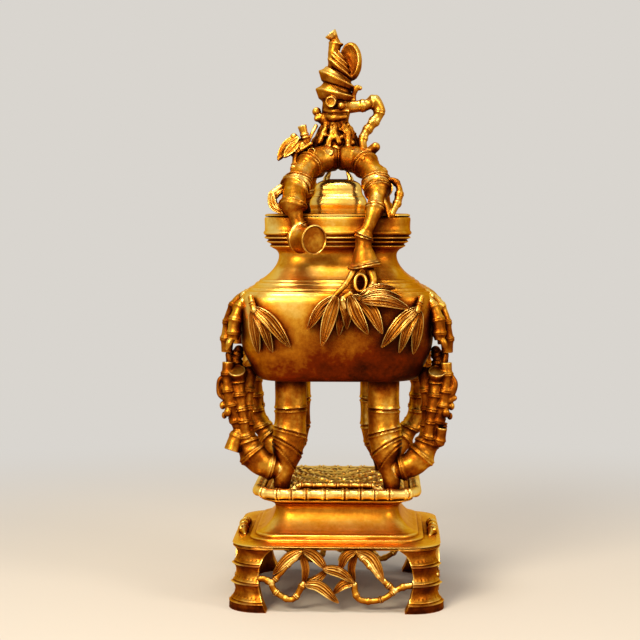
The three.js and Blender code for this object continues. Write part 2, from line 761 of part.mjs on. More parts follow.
// Hanging culms: at one end of each arch a leg that ends in a flared joint, and at the other one
// that turns into a stump with a flat oval cut.
function longLeg(way, grow = 0) {
  const at = turned(way);
  return culm([
    at(archSpread, archForward, hangTop + 1.5),
    at(archSpread - 0.6, hangForward - 5, hangTop - 8),
    at(archSpread - 3.4, hangForward, hangTop - 14.5),
    at(archSpread - 6, hangForward + 0.4, hangTop - 23),
    at(archSpread - 7, hangForward + 0.6, hangTop - 27),
    at(archSpread - 6, hangForward + 1, hangTop - 36),
  ], [5.4, 4.8, 3.9, 2.2, 3, 3.2, 2.9, 4.6, 6.2], {
    nodes: [0.27, 0.62, 0.97], swell: 0.2, band: 1.2, steps: 7, grow,
  });
}

function shortLeg(way, grow = 0) {
  const at = turned(way);
  return culm([
    at(-archSpread - 0.4, archForward, hangTop + 1.5),
    at(-archSpread - 1, hangForward - 4, hangTop - 7.5),
    at(-archSpread + 0.6, hangForward, hangTop - 13),
    at(-archSpread + 0.2, hangForward + 0.8, hangTop - 22),
  ], [5.4, 5.2, 4.6, 2.7, 3.2], { nodes: [0.36], swell: 0.2, band: 1.2, steps: 5, grow });
}

function cutStump(way, grow = 0) {
  const at = turned(way);
  return culm([
    at(-archSpread, hangForward, hangTop - 22),
    at(-archSpread + 4.4, hangForward + 4.8, hangTop - 22.6),
    at(-archSpread + 9.6, hangForward + 10.4, hangTop - 23.3),
  ], [4.4, 5.6, 6.2, 6.6], { nodes: [0.3], swell: 0.06, band: 1.2, steps: 2, sides: 11, grow });
}

// Leaf fans: a forked twig below the long leg, and the leaves that spread from it over the belly.
const fanReach = bellyHalf + 3.4;
const fanSpread = [
  { apex: [-1, 1.2], tips: [[-12.2, -13.4], [-5.7, -16.8], [1.3, -16.8], [4.4, -11.8]] },
  { apex: [5.4, 0.6], tips: [[14.4, -13.4], [20, -14.2]] },
  { apex: [12, 1.6], tips: [[23.1, 5.4], [26.6, 0.8], [32, -2.8]] },
];

function leafFans(way) {
  const at = turned(way);
  const on = (x, z, lift = 0) => at(x, fanReach + lift, shoulderZ + z);
  const top = at(archSpread - 6, hangForward + 1, hangTop - 34);
  const parts = [
    culm([top, on(6.6, 10.6), on(2.6, 4.6), on(-1.4, 0)], [2.3, 1.8, 1.7], { steps: 3, sides: 5 }),
    culm([top, on(14, 10.6), on(16, 5.2), on(13, 1.2)], [2.3, 1.8, 1.7], { steps: 3, sides: 5 }),
    culm([on(-1.4, 1), on(6, -0.2), on(14, 1.6)], [1.6, 1.6], { steps: 2, sides: 5 }),
  ];
  const facing = at(0, 1, 0);
  for (const { apex, tips } of fanSpread) {
    tips.forEach(([x, z], index) => {
      const lift = index % 2 === 0 ? 0.3 : -0.4;
      parts.push(leaf(on(...apex, lift), on(x, z, lift), facing, 3));
    });
  }
  return trim(fuse(parts), [longLeg(way, seatGap)]);
}

for (const [side, way] of Object.entries(ways)) {
  const arch = archCulm(way, seatGap);
  add(`long_leg_${side}`, trim(longLeg(way), [arch]), bamboo);
  add(`short_leg_${side}`, trim(shortLeg(way), [arch, cutStump(way, seatGap)]), bamboo);
  add(`cut_stump_${side}`, cutStump(way), bamboo);
  add(`leaf_fans_${side}`, leafFans(way), foliage);
}

// Finial: a rough root that grows from the top of the arch, folded on itself, with a cup and a
// cut stub at its top, and a branch that bends away and back to the arch.
const rootZ = archZ + archRadius;
const trunkLean = -2;
const up = (share) => rootZ + finialHeight * share;
function finialRoot(grow = 0) {
  const trunk = culm([
    v(trunkLean, 0, archZ + 1), v(trunkLean, 0, up(0.2)), v(trunkLean + 1, 0, up(0.4)),
    v(trunkLean + 2, 0, up(0.6)), v(trunkLean + 3, 0, up(0.82)),
  ], [1.6, 1, 0.78, 0.9, 0.6].map((share) => trunkRadius * share), { steps: 5, grow });
  const folds = [
    [[-11, -1, 0.485], [-3, -6.2, 0.5], [7.4, -3, 0.41]],
    [[-9, -1, 0.635], [-1, -6.6, 0.6], [8, -3, 0.48]],
    [[-4.8, -1, 0.745], [1, -5.6, 0.685], [7.4, -3, 0.575]],
  ];
  const rolls = folds.map((fold) => culm(
    fold.map(([x, y, share]) => v(x, y, up(share))),
    [1.8, 3, 2.6], { steps: 3, sides: 5, grow },
  ));
  const cup = ball(v(6.2, 0, up(0.74)), v(4 + grow, 5 + grow, 8.2 + grow));
  const bulb = ball(v(trunkLean, -0.4, up(0.87)), v(4 + grow, 4 + grow, 3 + grow));
  const stub = culm([v(trunkLean, 0, up(0.86)), v(trunkLean - 2.4, 0, up(0.98))], [2.2, 2.3, 3.2], {
    steps: 2, sides: 8, grow,
  });
  const knob = 2.1 + grow;
  const knobs = [v(-3.2, -6.4, up(0.37)), v(1.6, -6.2, up(0.34)), v(-8.5, -1.5, up(0.26))];
  return fuse([trunk, ...rolls, cup, bulb, stub, ...knobs.map((at) => ball(at, v(knob, knob, knob), 0))]);
}

const archSeats = [1, -1].flatMap((way) => [archCulm(way, seatGap), archBuds(way, seatGap)]);
add("finial_root", trim(finialRoot(), archSeats), bamboo);

const finialArm = culm([
  v(3, -1, up(0.335)), v(9, -1.5, up(0.34)), v(14.8, -2, up(0.36)), v(19, -2.6, up(0.325)),
  v(19.6, -3, up(0.26)), v(16.2, -4, up(0.15)), v(12.6, -6, up(0.04)), v(11.4, -8, archZ + 1),
], [armRadius * 1.2, armRadius, armRadius, armRadius, armRadius * 0.9], {
  nodes: [0.2, 0.42, 0.66], swell: 0.18, band: 1, steps: 8, sides: 6,
});
add("finial_arm", trim(finialArm, [...archSeats, finialRoot(seatGap)]), bamboo);

// Small growths on the front arch: cut stubs and a leaf at the left, and a bent twig at each end.
const clusterY = -9;
const stubCluster = fuse([
  culm([v(-14, clusterY, archZ - 1), v(-18, clusterY, archZ + 6), v(-21.4, clusterY, archZ + 11.6)],
    [3, 2.4, 2.7], { nodes: [0.6], band: 1, steps: 2, sides: 6 }),
  culm([v(-12, clusterY, archZ), v(-14.6, clusterY, archZ + 7), v(-17.2, clusterY, archZ + 14)],
    [2.6, 2.2, 2.5], { nodes: [0.6], band: 1, steps: 2, sides: 6 }),
  leaf(v(-17, clusterY, archZ + 8), v(-27.6, clusterY - 2, archZ - 1.4), v(-0.6, -0.8, 0.4), 3.4, 2.4),
  culm([v(-18.6, clusterY - 1, archZ + 6), v(-19.9, clusterY - 4, archZ - 6.5)], [2, 1.7], {
    steps: 1, sides: 6,
  }),
  culm([v(-14, clusterY, archZ + 7), v(-10, clusterY, archZ + 15)], [1.1, 1], { steps: 1, sides: 6 }),
]);
add("stub_cluster", trim(stubCluster, [...archSeats, finialRoot(seatGap)]), foliage);

const twigRight = culm([
  v(archSpread - 2, -archForward, hangTop), v(23.6, -archForward - 0.5, hangTop + 1.8),
  v(27.6, -archForward - 2, hangTop - 1), v(27, -hangForward + 6, hangTop - 8),
  v(24.4, -hangForward + 1.4, hangTop - 12.4),
], [1.8, 1.8, 1.9, 1.5], { nodes: [0.55, 0.75], band: 0.9, steps: 7, sides: 6 });
add("twig_right", trim(twigRight, [archCulm(1, seatGap), longLeg(1, seatGap)]), bamboo);

const twigLeft = culm([
  v(-archSpread + 1, -archForward, hangTop + 1), v(-24.5, -archForward - 1, hangTop),
  v(-28.2, -archForward - 4, hangTop - 2.4), v(-25.4, -hangForward + 1.6, hangTop - 12),
], [1.9, 1.8, 1.6], { nodes: [0.45, 0.7], band: 0.9, steps: 7, sides: 6 });
add("twig_left", trim(twigLeft, [archCulm(1, seatGap), shortLeg(1, seatGap)]), bamboo);

export default model;
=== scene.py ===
# %% [markdown]
# Bamboo-form incense burner
# A gilt-bronze censer in three loose groups: a pierced stand, a bowl on bamboo legs, and a lid
# whose handle is a bamboo culm bent into an arch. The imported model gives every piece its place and
# size. This script dresses it: finer surfaces worked out as arrays, and one family of gilt finishes.

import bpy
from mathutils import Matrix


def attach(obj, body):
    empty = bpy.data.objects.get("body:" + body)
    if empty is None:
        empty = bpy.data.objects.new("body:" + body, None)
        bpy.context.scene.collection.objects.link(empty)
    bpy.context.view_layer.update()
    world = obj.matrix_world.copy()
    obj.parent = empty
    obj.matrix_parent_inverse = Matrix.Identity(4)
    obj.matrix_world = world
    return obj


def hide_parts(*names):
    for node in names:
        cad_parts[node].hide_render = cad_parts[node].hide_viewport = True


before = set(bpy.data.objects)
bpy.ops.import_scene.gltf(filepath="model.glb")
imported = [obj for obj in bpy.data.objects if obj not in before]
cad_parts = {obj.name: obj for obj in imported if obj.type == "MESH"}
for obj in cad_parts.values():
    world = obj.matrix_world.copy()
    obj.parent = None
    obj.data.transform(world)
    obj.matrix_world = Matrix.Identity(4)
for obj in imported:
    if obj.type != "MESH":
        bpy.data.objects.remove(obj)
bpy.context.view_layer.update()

# %% Libraries and units
import math

import bpy
import numpy as np

MM = 0.001

# %% [markdown]
# Camera
# A long lens, 90 mm on a 36 mm sensor, keeps the uprights nearly parallel. It stands a little above
# the bowl's shoulder and a degree or two to the right, so the front is seen nearly square on.

# %% Camera
camera_distance = 0.741
camera_height = 0.168
camera_azimuth = math.radians(1.5)
look_down = math.radians(3.22)
aim_left = math.radians(0.66)

camera_data = bpy.data.cameras.new("camera")
camera_data.lens = 90
camera_data.sensor_width = 36
camera = bpy.data.objects.new("camera", camera_data)
camera.location = (
    camera_distance * math.sin(camera_azimuth),
    -camera_distance * math.cos(camera_azimuth),
    camera_height,
)
camera.rotation_euler = (math.pi / 2 - look_down, 0, camera_azimuth + aim_left)
bpy.context.scene.collection.objects.link(camera)
bpy.context.scene.camera = camera
print("camera at", [round(c, 3) for c in camera.location])

# %% [markdown]
# Nodes and colours
# Every finish is a small graph of shader nodes. One function adds a node with its settings and
# links, and one turns a colour written as a web colour into the linear numbers the shader reads.


# %% Node helper and colour helper
def add_node(tree, kind, settings=None, links=None):
    """One shader node. Settings fill its properties or inputs, and links join inputs to outputs."""
    node = tree.nodes.new(kind)
    for key, value in (settings or {}).items():
        if isinstance(key, str) and hasattr(node, key):
            setattr(node, key, value)
        else:
            node.inputs[key].default_value = value
    for key, output in (links or {}).items():
        tree.links.new(output, node.inputs[key])
    return node


def linear(web_colour):
    """sRGB to linear: c / 12.92 up to 0.04045, and ((c + 0.055) / 1.055) to the power 2.4 above."""
    parts = [int(web_colour[k:k + 2], 16) / 255 for k in (1, 3, 5)]
    return [c / 12.92 if c <= 0.04045 else ((c + 0.055) / 1.055) ** 2.4 for c in parts] + [1.0]


# %% [markdown]
# Gilt bronze
# The real surface is cast bronze, chased by hand and fire-gilt, then toned with a red-brown lacquer
# that has been rubbed off wherever a hand or a cloth reaches. So the colour follows shelter: deep
# brown in the corners, orange on the flats, pale gold on the edges. The brown in the corners is partly
# that lacquer and partly painted shade. Ambient occlusion measured outside the metal finds the
# corners, and measured inside it finds the edges. Faces that look down are painted darker and faces
# that look up a little lighter: painted shade and painted light, as from lamps above.


# %% Gilt finish
# Across the bowl the tone falls from left to right, painted light on the left and painted shade on
# the right: from -32 to 30 mm, by 0.14 either way.
painted_light_x, painted_shade_x, side_light_shade = -32, 30, 0.14
grazing_gold = "#FFC66A"


def gilt(name, shade, rough, grain, wave, shelter_mm, clouds, underside_shade=0.3, lift=0.0, bowl_shade=None):
    """Metal whose colour runs from sheltered and shaded to worn and lit. Grain and wave are each a size
    and a depth in millimetres, for the cast skin and for the slow unevenness of the wax it was modelled
    in. The last argument is two heights and an amount of painted shade: the tone falls by that amount
    from the upper height to the lower, and it falls from left to right as well."""
    material = bpy.data.materials.new(name)
    material.use_nodes = True
    tree = material.node_tree
    tree.nodes.clear()
    place = add_node(tree, "ShaderNodeTexCoord").outputs["Object"]

    def total(first, second):
        return add_node(tree, "ShaderNodeMath", {"operation": "ADD"}, {0: first, 1: second}).outputs[0]

    def remap(value, low, high, to_low, to_high):
        return add_node(tree, "ShaderNodeMapRange",
                        {"From Min": low, "From Max": high, "To Min": to_low, "To Max": to_high},
                        {"Value": value}).outputs["Result"]

    def noise(size_mm, detail, roughness):
        return add_node(tree, "ShaderNodeTexNoise",
                        {"Scale": 1 / (size_mm * MM), "Detail": detail, "Roughness": roughness},
                        {"Vector": place}).outputs["Fac"]

    # Shelter darkens the corners: partly the lacquer left in them, partly painted shade.
    occlusion = add_node(tree, "ShaderNodeAmbientOcclusion",
                         {"samples": 8, "Distance": shelter_mm * MM}).outputs["AO"]
    edge = add_node(tree, "ShaderNodeAmbientOcclusion",
                    {"samples": 8, "inside": True, "Distance": 0.8 * MM}).outputs["AO"]
    normal = add_node(tree, "ShaderNodeNewGeometry").outputs["Normal"]
    facing = add_node(tree, "ShaderNodeSeparateXYZ", links={0: normal}).outputs["Z"]
    # Shelter gives 0 to 0.74, partly lacquer in the hollows and partly painted shade, and an edge adds up
    # to 0.34. A face that looks down loses some as painted shade, and one that looks up gains a little as
    # painted light. Two noises, 11 and 1.7 mm wide, mottle the sum. Lift moves it all up or down.
    worn_and_lit = total(remap(occlusion, 0.3, 1.0, lift, 0.74 + lift), remap(edge, 0.5, 0.95, 0.34, 0.0))
    worn_and_lit = total(worn_and_lit, remap(facing, -0.9, 0.7, -underside_shade, 0.10))
    worn_and_lit = total(worn_and_lit, remap(noise(11, 4.0, 0.6), 0.3, 0.7, -clouds, clouds))
    worn_and_lit = total(worn_and_lit, remap(noise(1.7, 3.0, 0.6), 0.3, 0.7, -0.05, 0.05))
    # Painted shade on the bowl: darker towards the bottom of the belly and towards the right.
    if bowl_shade:
        low, high, amount = bowl_shade
        axes = add_node(tree, "ShaderNodeSeparateXYZ", links={0: place}).outputs
        worn_and_lit = total(worn_and_lit, remap(axes["Z"], low * MM, high * MM, -amount, 0.0))
        worn_and_lit = total(worn_and_lit, remap(axes["X"], painted_light_x * MM, painted_shade_x * MM, side_light_shade, -side_light_shade))

    ramp = add_node(tree, "ShaderNodeValToRGB", links={"Fac": worn_and_lit})
    stops = ramp.color_ramp.elements
    stops[0].position, stops[0].color = shade[0][0], linear(shade[0][1])
    stops[1].position, stops[1].color = shade[-1][0], linear(shade[-1][1])
    for position, colour in shade[1:-1]:
        stop = stops.new(position)
        stop.color = linear(colour)

    slow = add_node(tree, "ShaderNodeBump", {"Strength": 1.0, "Distance": wave[1] * MM},
                    {"Height": noise(wave[0], 2.0, 0.5)}).outputs["Normal"]
    bump = add_node(tree, "ShaderNodeBump", {"Strength": 1.0, "Distance": grain[1] * MM},
                    {"Height": noise(grain[0], 5.0, 0.65), "Normal": slow}).outputs["Normal"]
    shader = add_node(tree, "ShaderNodeBsdfPrincipled", links={
        "Base Color": ramp.outputs["Color"],
        "Roughness": remap(worn_and_lit, 0.35, 1.0, rough + 0.22, rough),
        "Metallic": remap(worn_and_lit, 0.1, 0.4, 0.85, 1.0),
        "Normal": bump,
    })
    shader.inputs["Specular Tint"].default_value = linear(grazing_gold)
    add_node(tree, "ShaderNodeOutputMaterial", links={"Surface": shader.outputs["BSDF"]})
    return material


# The palest stops are gilt worn bright on the edges, and on faces that look up they also stand for painted
# highlight.
burnished = [(0.16, "#2E0902"), (0.38, "#702505"), (0.60, "#B36A14"), (0.80, "#E0A22E"), (1.0, "#FFDC78")]
cast = [(0.18, "#220501"), (0.38, "#5A1D03"), (0.60, "#9A520E"), (0.80, "#D0922A"), (1.0, "#FFDB7C")]
# After the ramp come roughness, grain, wave, shelter distance, clouds, painted underside shade and lift.
finishes = {
    "polished_gilt": gilt(
        "fire_gilt_burnished", burnished, 0.27, (1.6, 0.02), (16, 0.25), 8.0, 0.08, 0.14, 0.04),
    # The bowl's finish is painted darker low on the belly and on the right: painted shade.
    "bowl_gilt": gilt(
        "fire_gilt_shaded_bowl", burnished, 0.28, (1.6, 0.03), (20, 0.35), 9.0, 0.11, 0.12, 0.05,
        bowl_shade=(107, 131, 0.44)),
    "dome_gilt": gilt("fire_gilt_dome", burnished, 0.27, (1.6, 0.02), (9, 0.2), 2.4, 0.06, 0.06, 0.12),
    "bamboo_gilt": gilt("fire_gilt_cast", cast, 0.30, (0.9, 0.06), (4.5, 0.30), 6.0, 0.22, 0.34, -0.02),
    "rubbed_gilt": gilt("fire_gilt_rubbed", cast, 0.27, (0.9, 0.05), (4.5, 0.25), 4.5, 0.14, 0.36, 0.14),
    "root_gilt": gilt("fire_gilt_root", cast, 0.31, (0.9, 0.05), (4.5, 0.25), 5.0, 0.14, 0.36, 0.05),
    "mat_gilt": gilt("fire_gilt_mat", cast, 0.30, (0.9, 0.05), (4.5, 0.2), 1.5, 0.14, 0.12, 0.20),
    "chased_gilt": gilt("fire_gilt_chased", cast, 0.32, (0.7, 0.05), (4.0, 0.15), 2.6, 0.14, 0.34, 0.04),
}
print("finishes:", ", ".join(material.name for material in finishes.values()))

# %% [markdown]
# Surfaces as arrays
# Each piece is made of closed shells. A shell is a set of points in millimetres with its four-sided
# and three-sided faces, so shells are joined by adding one's points after the other's. Rings of
# points carried along a path make the round ones, and two facing grids make the flat ones.


# %% Shells
def lattice(rows, columns, wrap_rows=False, wrap_columns=True):
    """Quads of a grid of points: each joins (i, j), (i, j+1), (i+1, j+1) and (i+1, j)."""
    i = np.arange(rows if wrap_rows else rows - 1)[:, None]
    j = np.arange(columns if wrap_columns else columns - 1)[None, :]
    below, above = i * columns, ((i + 1) % rows) * columns
    right = (j + 1) % columns
    return np.stack([below + j, below + right, above + right, above + j], axis=-1).reshape(-1, 4)


def join(shells):
    """Several shells as one: their points in a row, and their faces' numbers moved along to match."""
    starts = np.cumsum([0] + [len(points) for points, _, _ in shells[:-1]])
    return (
        np.concatenate([points for points, _, _ in shells]),
        np.concatenate([quads + start for (_, quads, _), start in zip(shells, starts)]),
        np.concatenate([fans + start for (_, _, fans), start in zip(shells, starts)]),
    )


def ringed(rings, first, last):
    """A closed shell: rings of points in order, with a fan to a middle point at each end."""
    rows, around = rings.shape[:2]
    points = np.concatenate([rings.reshape(-1, 3), [first, last]])
    here = np.arange(around)
    there = (here + 1) % around
    top = (rows - 1) * around
    fans = np.concatenate([
        np.column_stack([np.full(around, rows * around), there, here]),
        np.column_stack([np.full(around, rows * around + 1), top + here, top + there]),
    ])
    return points, lattice(rows, around), fans


def hooped(rings):
    """A closed shell from rings whose row closes on itself, like a tyre."""
    rows, around = rings.shape[:2]
    return rings.reshape(-1, 3), lattice(rows, around, wrap_rows=True), np.zeros((0, 3), int)


def slab(outer, inner):
    """A closed sheet: an outer grid, an inner grid of the same shape turned over, and four rims."""
    rows, columns = outer.shape[:2]
    count = rows * columns
    face = lattice(rows, columns, wrap_columns=False)
    grid = np.arange(count).reshape(rows, columns)
    border = np.concatenate([grid[0, :-1], grid[:-1, -1], grid[-1, :0:-1], grid[:0:-1, 0]])
    following = np.roll(border, -1)
    rim = np.column_stack([following, border, border + count, following + count])
    quads = np.concatenate([face, face[:, ::-1] + count, rim])
    return np.concatenate([outer.reshape(-1, 3), inner.reshape(-1, 3)]), quads, np.zeros((0, 3), int)


def turned(shell, degrees):
    """A shell turned about the upright axis."""
    c, s = math.cos(math.radians(degrees)), math.sin(math.radians(degrees))
    spin = np.array([[c, s, 0], [-s, c, 0], [0, 0, 1]])
    points, quads, fans = shell
    return points @ spin, quads, fans


def mirrored(shell, sx, sy):
    """A shell with x or y changed in sign. One change turns its faces over, so they are turned back."""
    points, quads, fans = shell
    points = points * [sx, sy, 1]
    return (points, quads, fans) if sx * sy > 0 else (points, quads[:, ::-1], fans[:, ::-1])


# %% Mesh objects
crease_angle = math.radians(48)


def mesh_object(name, shell):
    """The shell as a smooth-shaded mesh in metres, with its creases marked by their angle."""
    points, quads, fans = shell
    mesh = bpy.data.meshes.new(name)
    mesh.vertices.add(len(points))
    mesh.vertices.foreach_set("co", (points * MM).astype(np.float32).ravel())
    mesh.loops.add(quads.size + fans.size)
    mesh.loops.foreach_set("vertex_index", np.concatenate([quads.ravel(), fans.ravel()]).astype(np.int32))
    starts = np.concatenate([np.arange(len(quads)) * 4, quads.size + np.arange(len(fans)) * 3])
    mesh.polygons.add(len(starts))
    mesh.polygons.foreach_set("loop_start", starts.astype(np.int32))
    mesh.update(calc_edges=True)
    mesh.validate()
    mesh.shade_smooth()
    mesh.set_sharp_from_angle(angle=crease_angle)
    made = bpy.data.objects.new(name, mesh)
    bpy.context.scene.collection.objects.link(made)
    return made


def melt(made, voxel_mm):
    """Shells that cross become one skin: a remesh on a fine grid of cubes, then one light smoothing."""
    remesh = made.modifiers.new("one_skin", "REMESH")
    remesh.mode = "VOXEL"
    remesh.voxel_size = voxel_mm * MM * 1
    remesh.use_smooth_shade = True
    soften = made.modifiers.new("soften", "SMOOTH")
    soften.factor = 0.5
    soften.iterations = 1
    depsgraph = bpy.context.evaluated_depsgraph_get()
    skin = bpy.data.meshes.new_from_object(made.evaluated_get(depsgraph))
    made.modifiers.clear()
    made.data = skin
    skin.name = made.name


pieces = []


def piece(name, shells, body, nodes, slot, finish=None, melt_mm=0):
    """One finished piece: its mesh, its finish, the body it moves with and the nodes it stands for."""
    made = mesh_object(name, join(shells))
    if melt_mm:
        melt(made, melt_mm)
    made.data.materials.clear()
    made.data.materials.append(finishes[finish or slot])
    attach(made, body)
    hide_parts(*nodes)
    pieces.append(made)
    return made


# %% [markdown]
# Lines and culms
# A bamboo culm is a tube along a smooth line. Its radius swells a little towards every node, and the
# node itself is two fine ridges with a groove between them, cut at a slant where the culm bends.


# %% Smooth lines
def smooth_line(points, count):
    """A cubic through the points, whose slope at each is taken from its neighbours, at equal steps."""
    points = np.asarray(points, float)
    knots = np.concatenate([[0], np.cumsum(np.sqrt(np.linalg.norm(np.diff(points, axis=0), axis=1)))])
    slopes = np.gradient(points, knots, axis=0)
    t = np.linspace(0, knots[-1], 60 * len(points))
    k = np.clip(np.searchsorted(knots, t, side="right") - 1, 0, len(points) - 2)
    h = (knots[k + 1] - knots[k])[:, None]
    u = (t - knots[k])[:, None] / h
    line = ((2 * u ** 3 - 3 * u ** 2 + 1) * points[k] + (u ** 3 - 2 * u ** 2 + u) * h * slopes[k]
            + (3 * u ** 2 - 2 * u ** 3) * points[k + 1] + (u ** 3 - u ** 2) * h * slopes[k + 1])
    run = np.concatenate([[0], np.cumsum(np.linalg.norm(np.diff(line, axis=0), axis=1))])
    even = np.linspace(0, run[-1], count)
    return np.column_stack([np.interp(even, run, column) for column in line.T]), run[-1]


def unit(rows):
    """Each row divided by its length."""
    return rows / np.linalg.norm(rows, axis=-1, keepdims=True)


def spokes(line, around, closed=False):
    """Unit vectors square to a line at each point: side times cos a plus over times sin a."""
    if closed:
        tangent = unit(np.roll(line, -1, axis=0) - np.roll(line, 1, axis=0))
    else:
        tangent = unit(np.gradient(line, axis=0))
    settle = np.diag([0.03, 0.02, 0.01])
    reference = np.linalg.svd(np.vstack([tangent, settle]), full_matrices=False)[2][-1]
    reference = reference * np.sign(reference[np.argmax(np.abs(reference))])
    side = unit(reference - (tangent @ reference)[:, None] * tangent)
    over = np.cross(tangent, side)
    angle = np.linspace(0, 2 * np.pi, around, endpoint=False)[:, None]
    return side[:, None] * np.cos(angle) + over[:, None] * np.sin(angle), tangent


bend_length = smooth_line([[0, 0, 0], [10, 0, 10], [20, 0, 0]], 9)[1]
print("a bend through three points is", round(bend_length, 1), "mm long")


# %% Culms
# Each end shape is a row of steps: the share of the ring that is left, and how far out it is moved.
end_shapes = {
    "plain": [],
    "cut": [(0.95, 0.06), (0.86, 0.07), (0.74, -0.02), (0.66, -0.10), (0.3, -0.12)],
    "flat": [(0.97, 0.03), (0.91, 0.03), (0.87, -0.03), (0.5, -0.02)],
    "round": [(0.93, 0.30), (0.76, 0.56), (0.48, 0.78), (0.2, 0.88)],
    "open": [(0.95, 0.06), (0.8, 0.05), (0.66, -0.35), (0.5, -0.75), (0.25, -0.85)],
}
tip_heights = {"plain": 0, "cut": -0.12, "flat": -0.01, "round": 0.92, "open": -0.85}
rounded = {"start": "round", "end": "round", "step": 0.3}


def cap(ring, middle, way, shape):
    """The extra rings of one end, and its middle point: each step shrinks the ring and moves it out."""
    reach = np.linalg.norm(ring - middle, axis=1).mean()
    steps = [middle + (ring - middle) * share + way * out * reach for share, out in end_shapes[shape]]
    return steps, middle + way * tip_heights[shape] * reach


def capped(rings, line, tangent, start, end):
    """The rings of a tube with an end shape added at both ends."""
    before, first = cap(rings[0], line[0], -tangent[0], start)
    after, last = cap(rings[-1], line[-1], tangent[-1], end)
    return ringed(np.stack(before[::-1] + list(rings) + after), first, last)


def culm(points, radii, nodes=(), lean=(0, 0, 0), start="plain", end="plain", around=36, step=0.45,
         flare=0.08, ridge=0.34, groove=0.30, gap=0.75, reach=3.0):
    """A jointed culm. Radius: a smooth line through the listed values, times 1 + flare e^-(d/reach)^2,
    plus ridge e^-((|d| - gap)/w)^2, less groove e^-(d/w)^2, where d is the way to the nearest node."""
    length = smooth_line(points, 50)[1]
    line, _ = smooth_line(points, max(6, int(length / step)))
    direction, tangent = spokes(line, around)
    shares = np.linspace(0, 1, len(line))
    values = smooth_line([[k / (len(radii) - 1), value] for k, value in enumerate(radii)], 80)[0]
    base = np.interp(shares, values[:, 0], values[:, 1])[:, None] * np.ones((1, around))
    radius = base.copy()
    width = 0.55 * gap
    for node in nodes:
        at, slant = node if isinstance(node, tuple) else (node, 0.0)
        ahead = (direction @ np.asarray(lean, float)) * slant * base
        d = shares[:, None] * length + ahead - at * length
        radius = radius + base * flare * np.exp(-(d / reach) ** 2)
        radius = radius + ridge * np.exp(-((np.abs(d) - gap) / width) ** 2)
        radius = radius - groove * np.exp(-(d / width) ** 2)
    rings = line[:, None] + direction * radius[..., None]
    return capped(rings, line, tangent, start, end)


def knob(centre, radii, around=18):
    """A ball or bud: circles whose radius is sin a at a height of -cos a, stretched to its radii."""
    polar = np.linspace(0, np.pi, around // 2 + 1)[1:-1, None]
    angle = np.linspace(0, 2 * np.pi, around, endpoint=False)[None, :]
    grid = np.stack([np.sin(polar) * np.cos(angle), np.sin(polar) * np.sin(angle),
                     -np.cos(polar) * np.ones_like(angle)], axis=-1)
    radii = np.broadcast_to(np.asarray(radii, float), 3)
    centre = np.asarray(centre, float)
    return ringed(centre + grid * radii, centre - [0, 0, radii[2]], centre + [0, 0, radii[2]])


print("end shapes of a culm:", ", ".join(end_shapes))


# %% [markdown]
# Rounded squares
# Bowl, lid and stand are all square in plan with round corners, and their sides are slightly bowed,
# as a wax model's are. A profile of half widths and heights is carried round that plan.


# %% Rounded-square surfaces
def square_plan(round_share, corner_steps, side_steps, bow=0.0):
    """Points round a square of half width 1: arcs at the corners, and sides that bow out in the middle."""
    arc = np.linspace(0, np.pi / 2, corner_steps + 1)
    flat = 1 - round_share
    run = np.linspace(-flat, flat, side_steps + 1)[1:-1]
    quarter = []
    for k in range(4):
        turn = k * np.pi / 2
        corner = np.column_stack([flat + round_share * np.cos(arc), flat + round_share * np.sin(arc)])
        side = np.column_stack([-run, np.ones_like(run)])
        shape = np.concatenate([corner, side])
        c, s = math.cos(turn), math.sin(turn)
        quarter.append(shape @ np.array([[c, s], [-s, c]]))
    plan = np.concatenate(quarter)
    across = np.abs(plan).min(axis=1) / max(flat, 1e-6)
    return plan * (1 - bow * np.clip(across, 0, 1) ** 2)[:, None]


def squared(profile, plan):
    """Rings: each point of the profile, a half width and a height, scaled round the plan."""
    profile = np.asarray(profile, float)
    flat = profile[:, None, 0, None] * plan[None]
    height = np.broadcast_to(profile[:, 1][:, None, None], flat.shape[:2] + (1,))
    return np.concatenate([flat, height], axis=-1)


def eased(profile, step):
    """The profile's points joined by straight runs, filled in at a steady step and kept sharp."""
    profile = np.asarray(profile, float)
    rows = [profile[:1]]
    for low, high in zip(profile[:-1], profile[1:]):
        count = max(1, int(math.dist(low, high) / step))
        rows.append(low + (high - low) * np.linspace(0, 1, count + 1)[1:, None])
    return np.concatenate(rows)


# %% [markdown]
# Bamboo leaves
# A chased leaf is a thick blade with a raised mid-rib, raised edges and two grooves on each side.
# Its side walls stay square all the way to the tip, which is what throws the hard dark outline.


# %% Leaves
def leaf(line_points, facing, half_width, thick=1.5, ribs=0.62, rows=44, across=33, drop=0.0):
    """A blade along a line. Width: u^0.55 (1 - u)^0.8 scaled to 1. Face: thickness plus ribs, which are
    narrow bells at the middle, half way out and near the edges. Back: a flat copy under it."""
    line, length = smooth_line(line_points, rows)
    forward = unit(np.gradient(line, axis=0))
    up = unit(np.asarray(facing, float) - (forward @ np.asarray(facing, float))[:, None] * forward)
    side = np.cross(up, forward)
    u = np.linspace(0.0, 1.0, rows)
    width = (u + 0.012) ** 0.55 * (1.012 - u) ** 0.8
    width = half_width * width / width.max()
    v = np.linspace(-1, 1, across)
    rib = np.exp(-(v / 0.11) ** 2) + 0.85 * np.exp(-((np.abs(v) - 0.9) / 0.1) ** 2)
    rib = rib + 0.5 * np.exp(-((np.abs(v) - 0.5) / 0.1) ** 2)
    fade = np.clip(width / half_width * 1.6, 0.15, 1)[:, None]
    height = thick + ribs * fade * rib[None, :]
    top = (line[:, None] + side[:, None] * (width[:, None] * v)[..., None]
           + up[:, None] * (height - drop)[..., None])
    under = line[:, None] + side[:, None] * (width[:, None] * v)[..., None] - up[:, None] * drop
    return slab(top.swapaxes(0, 1), under.swapaxes(0, 1))


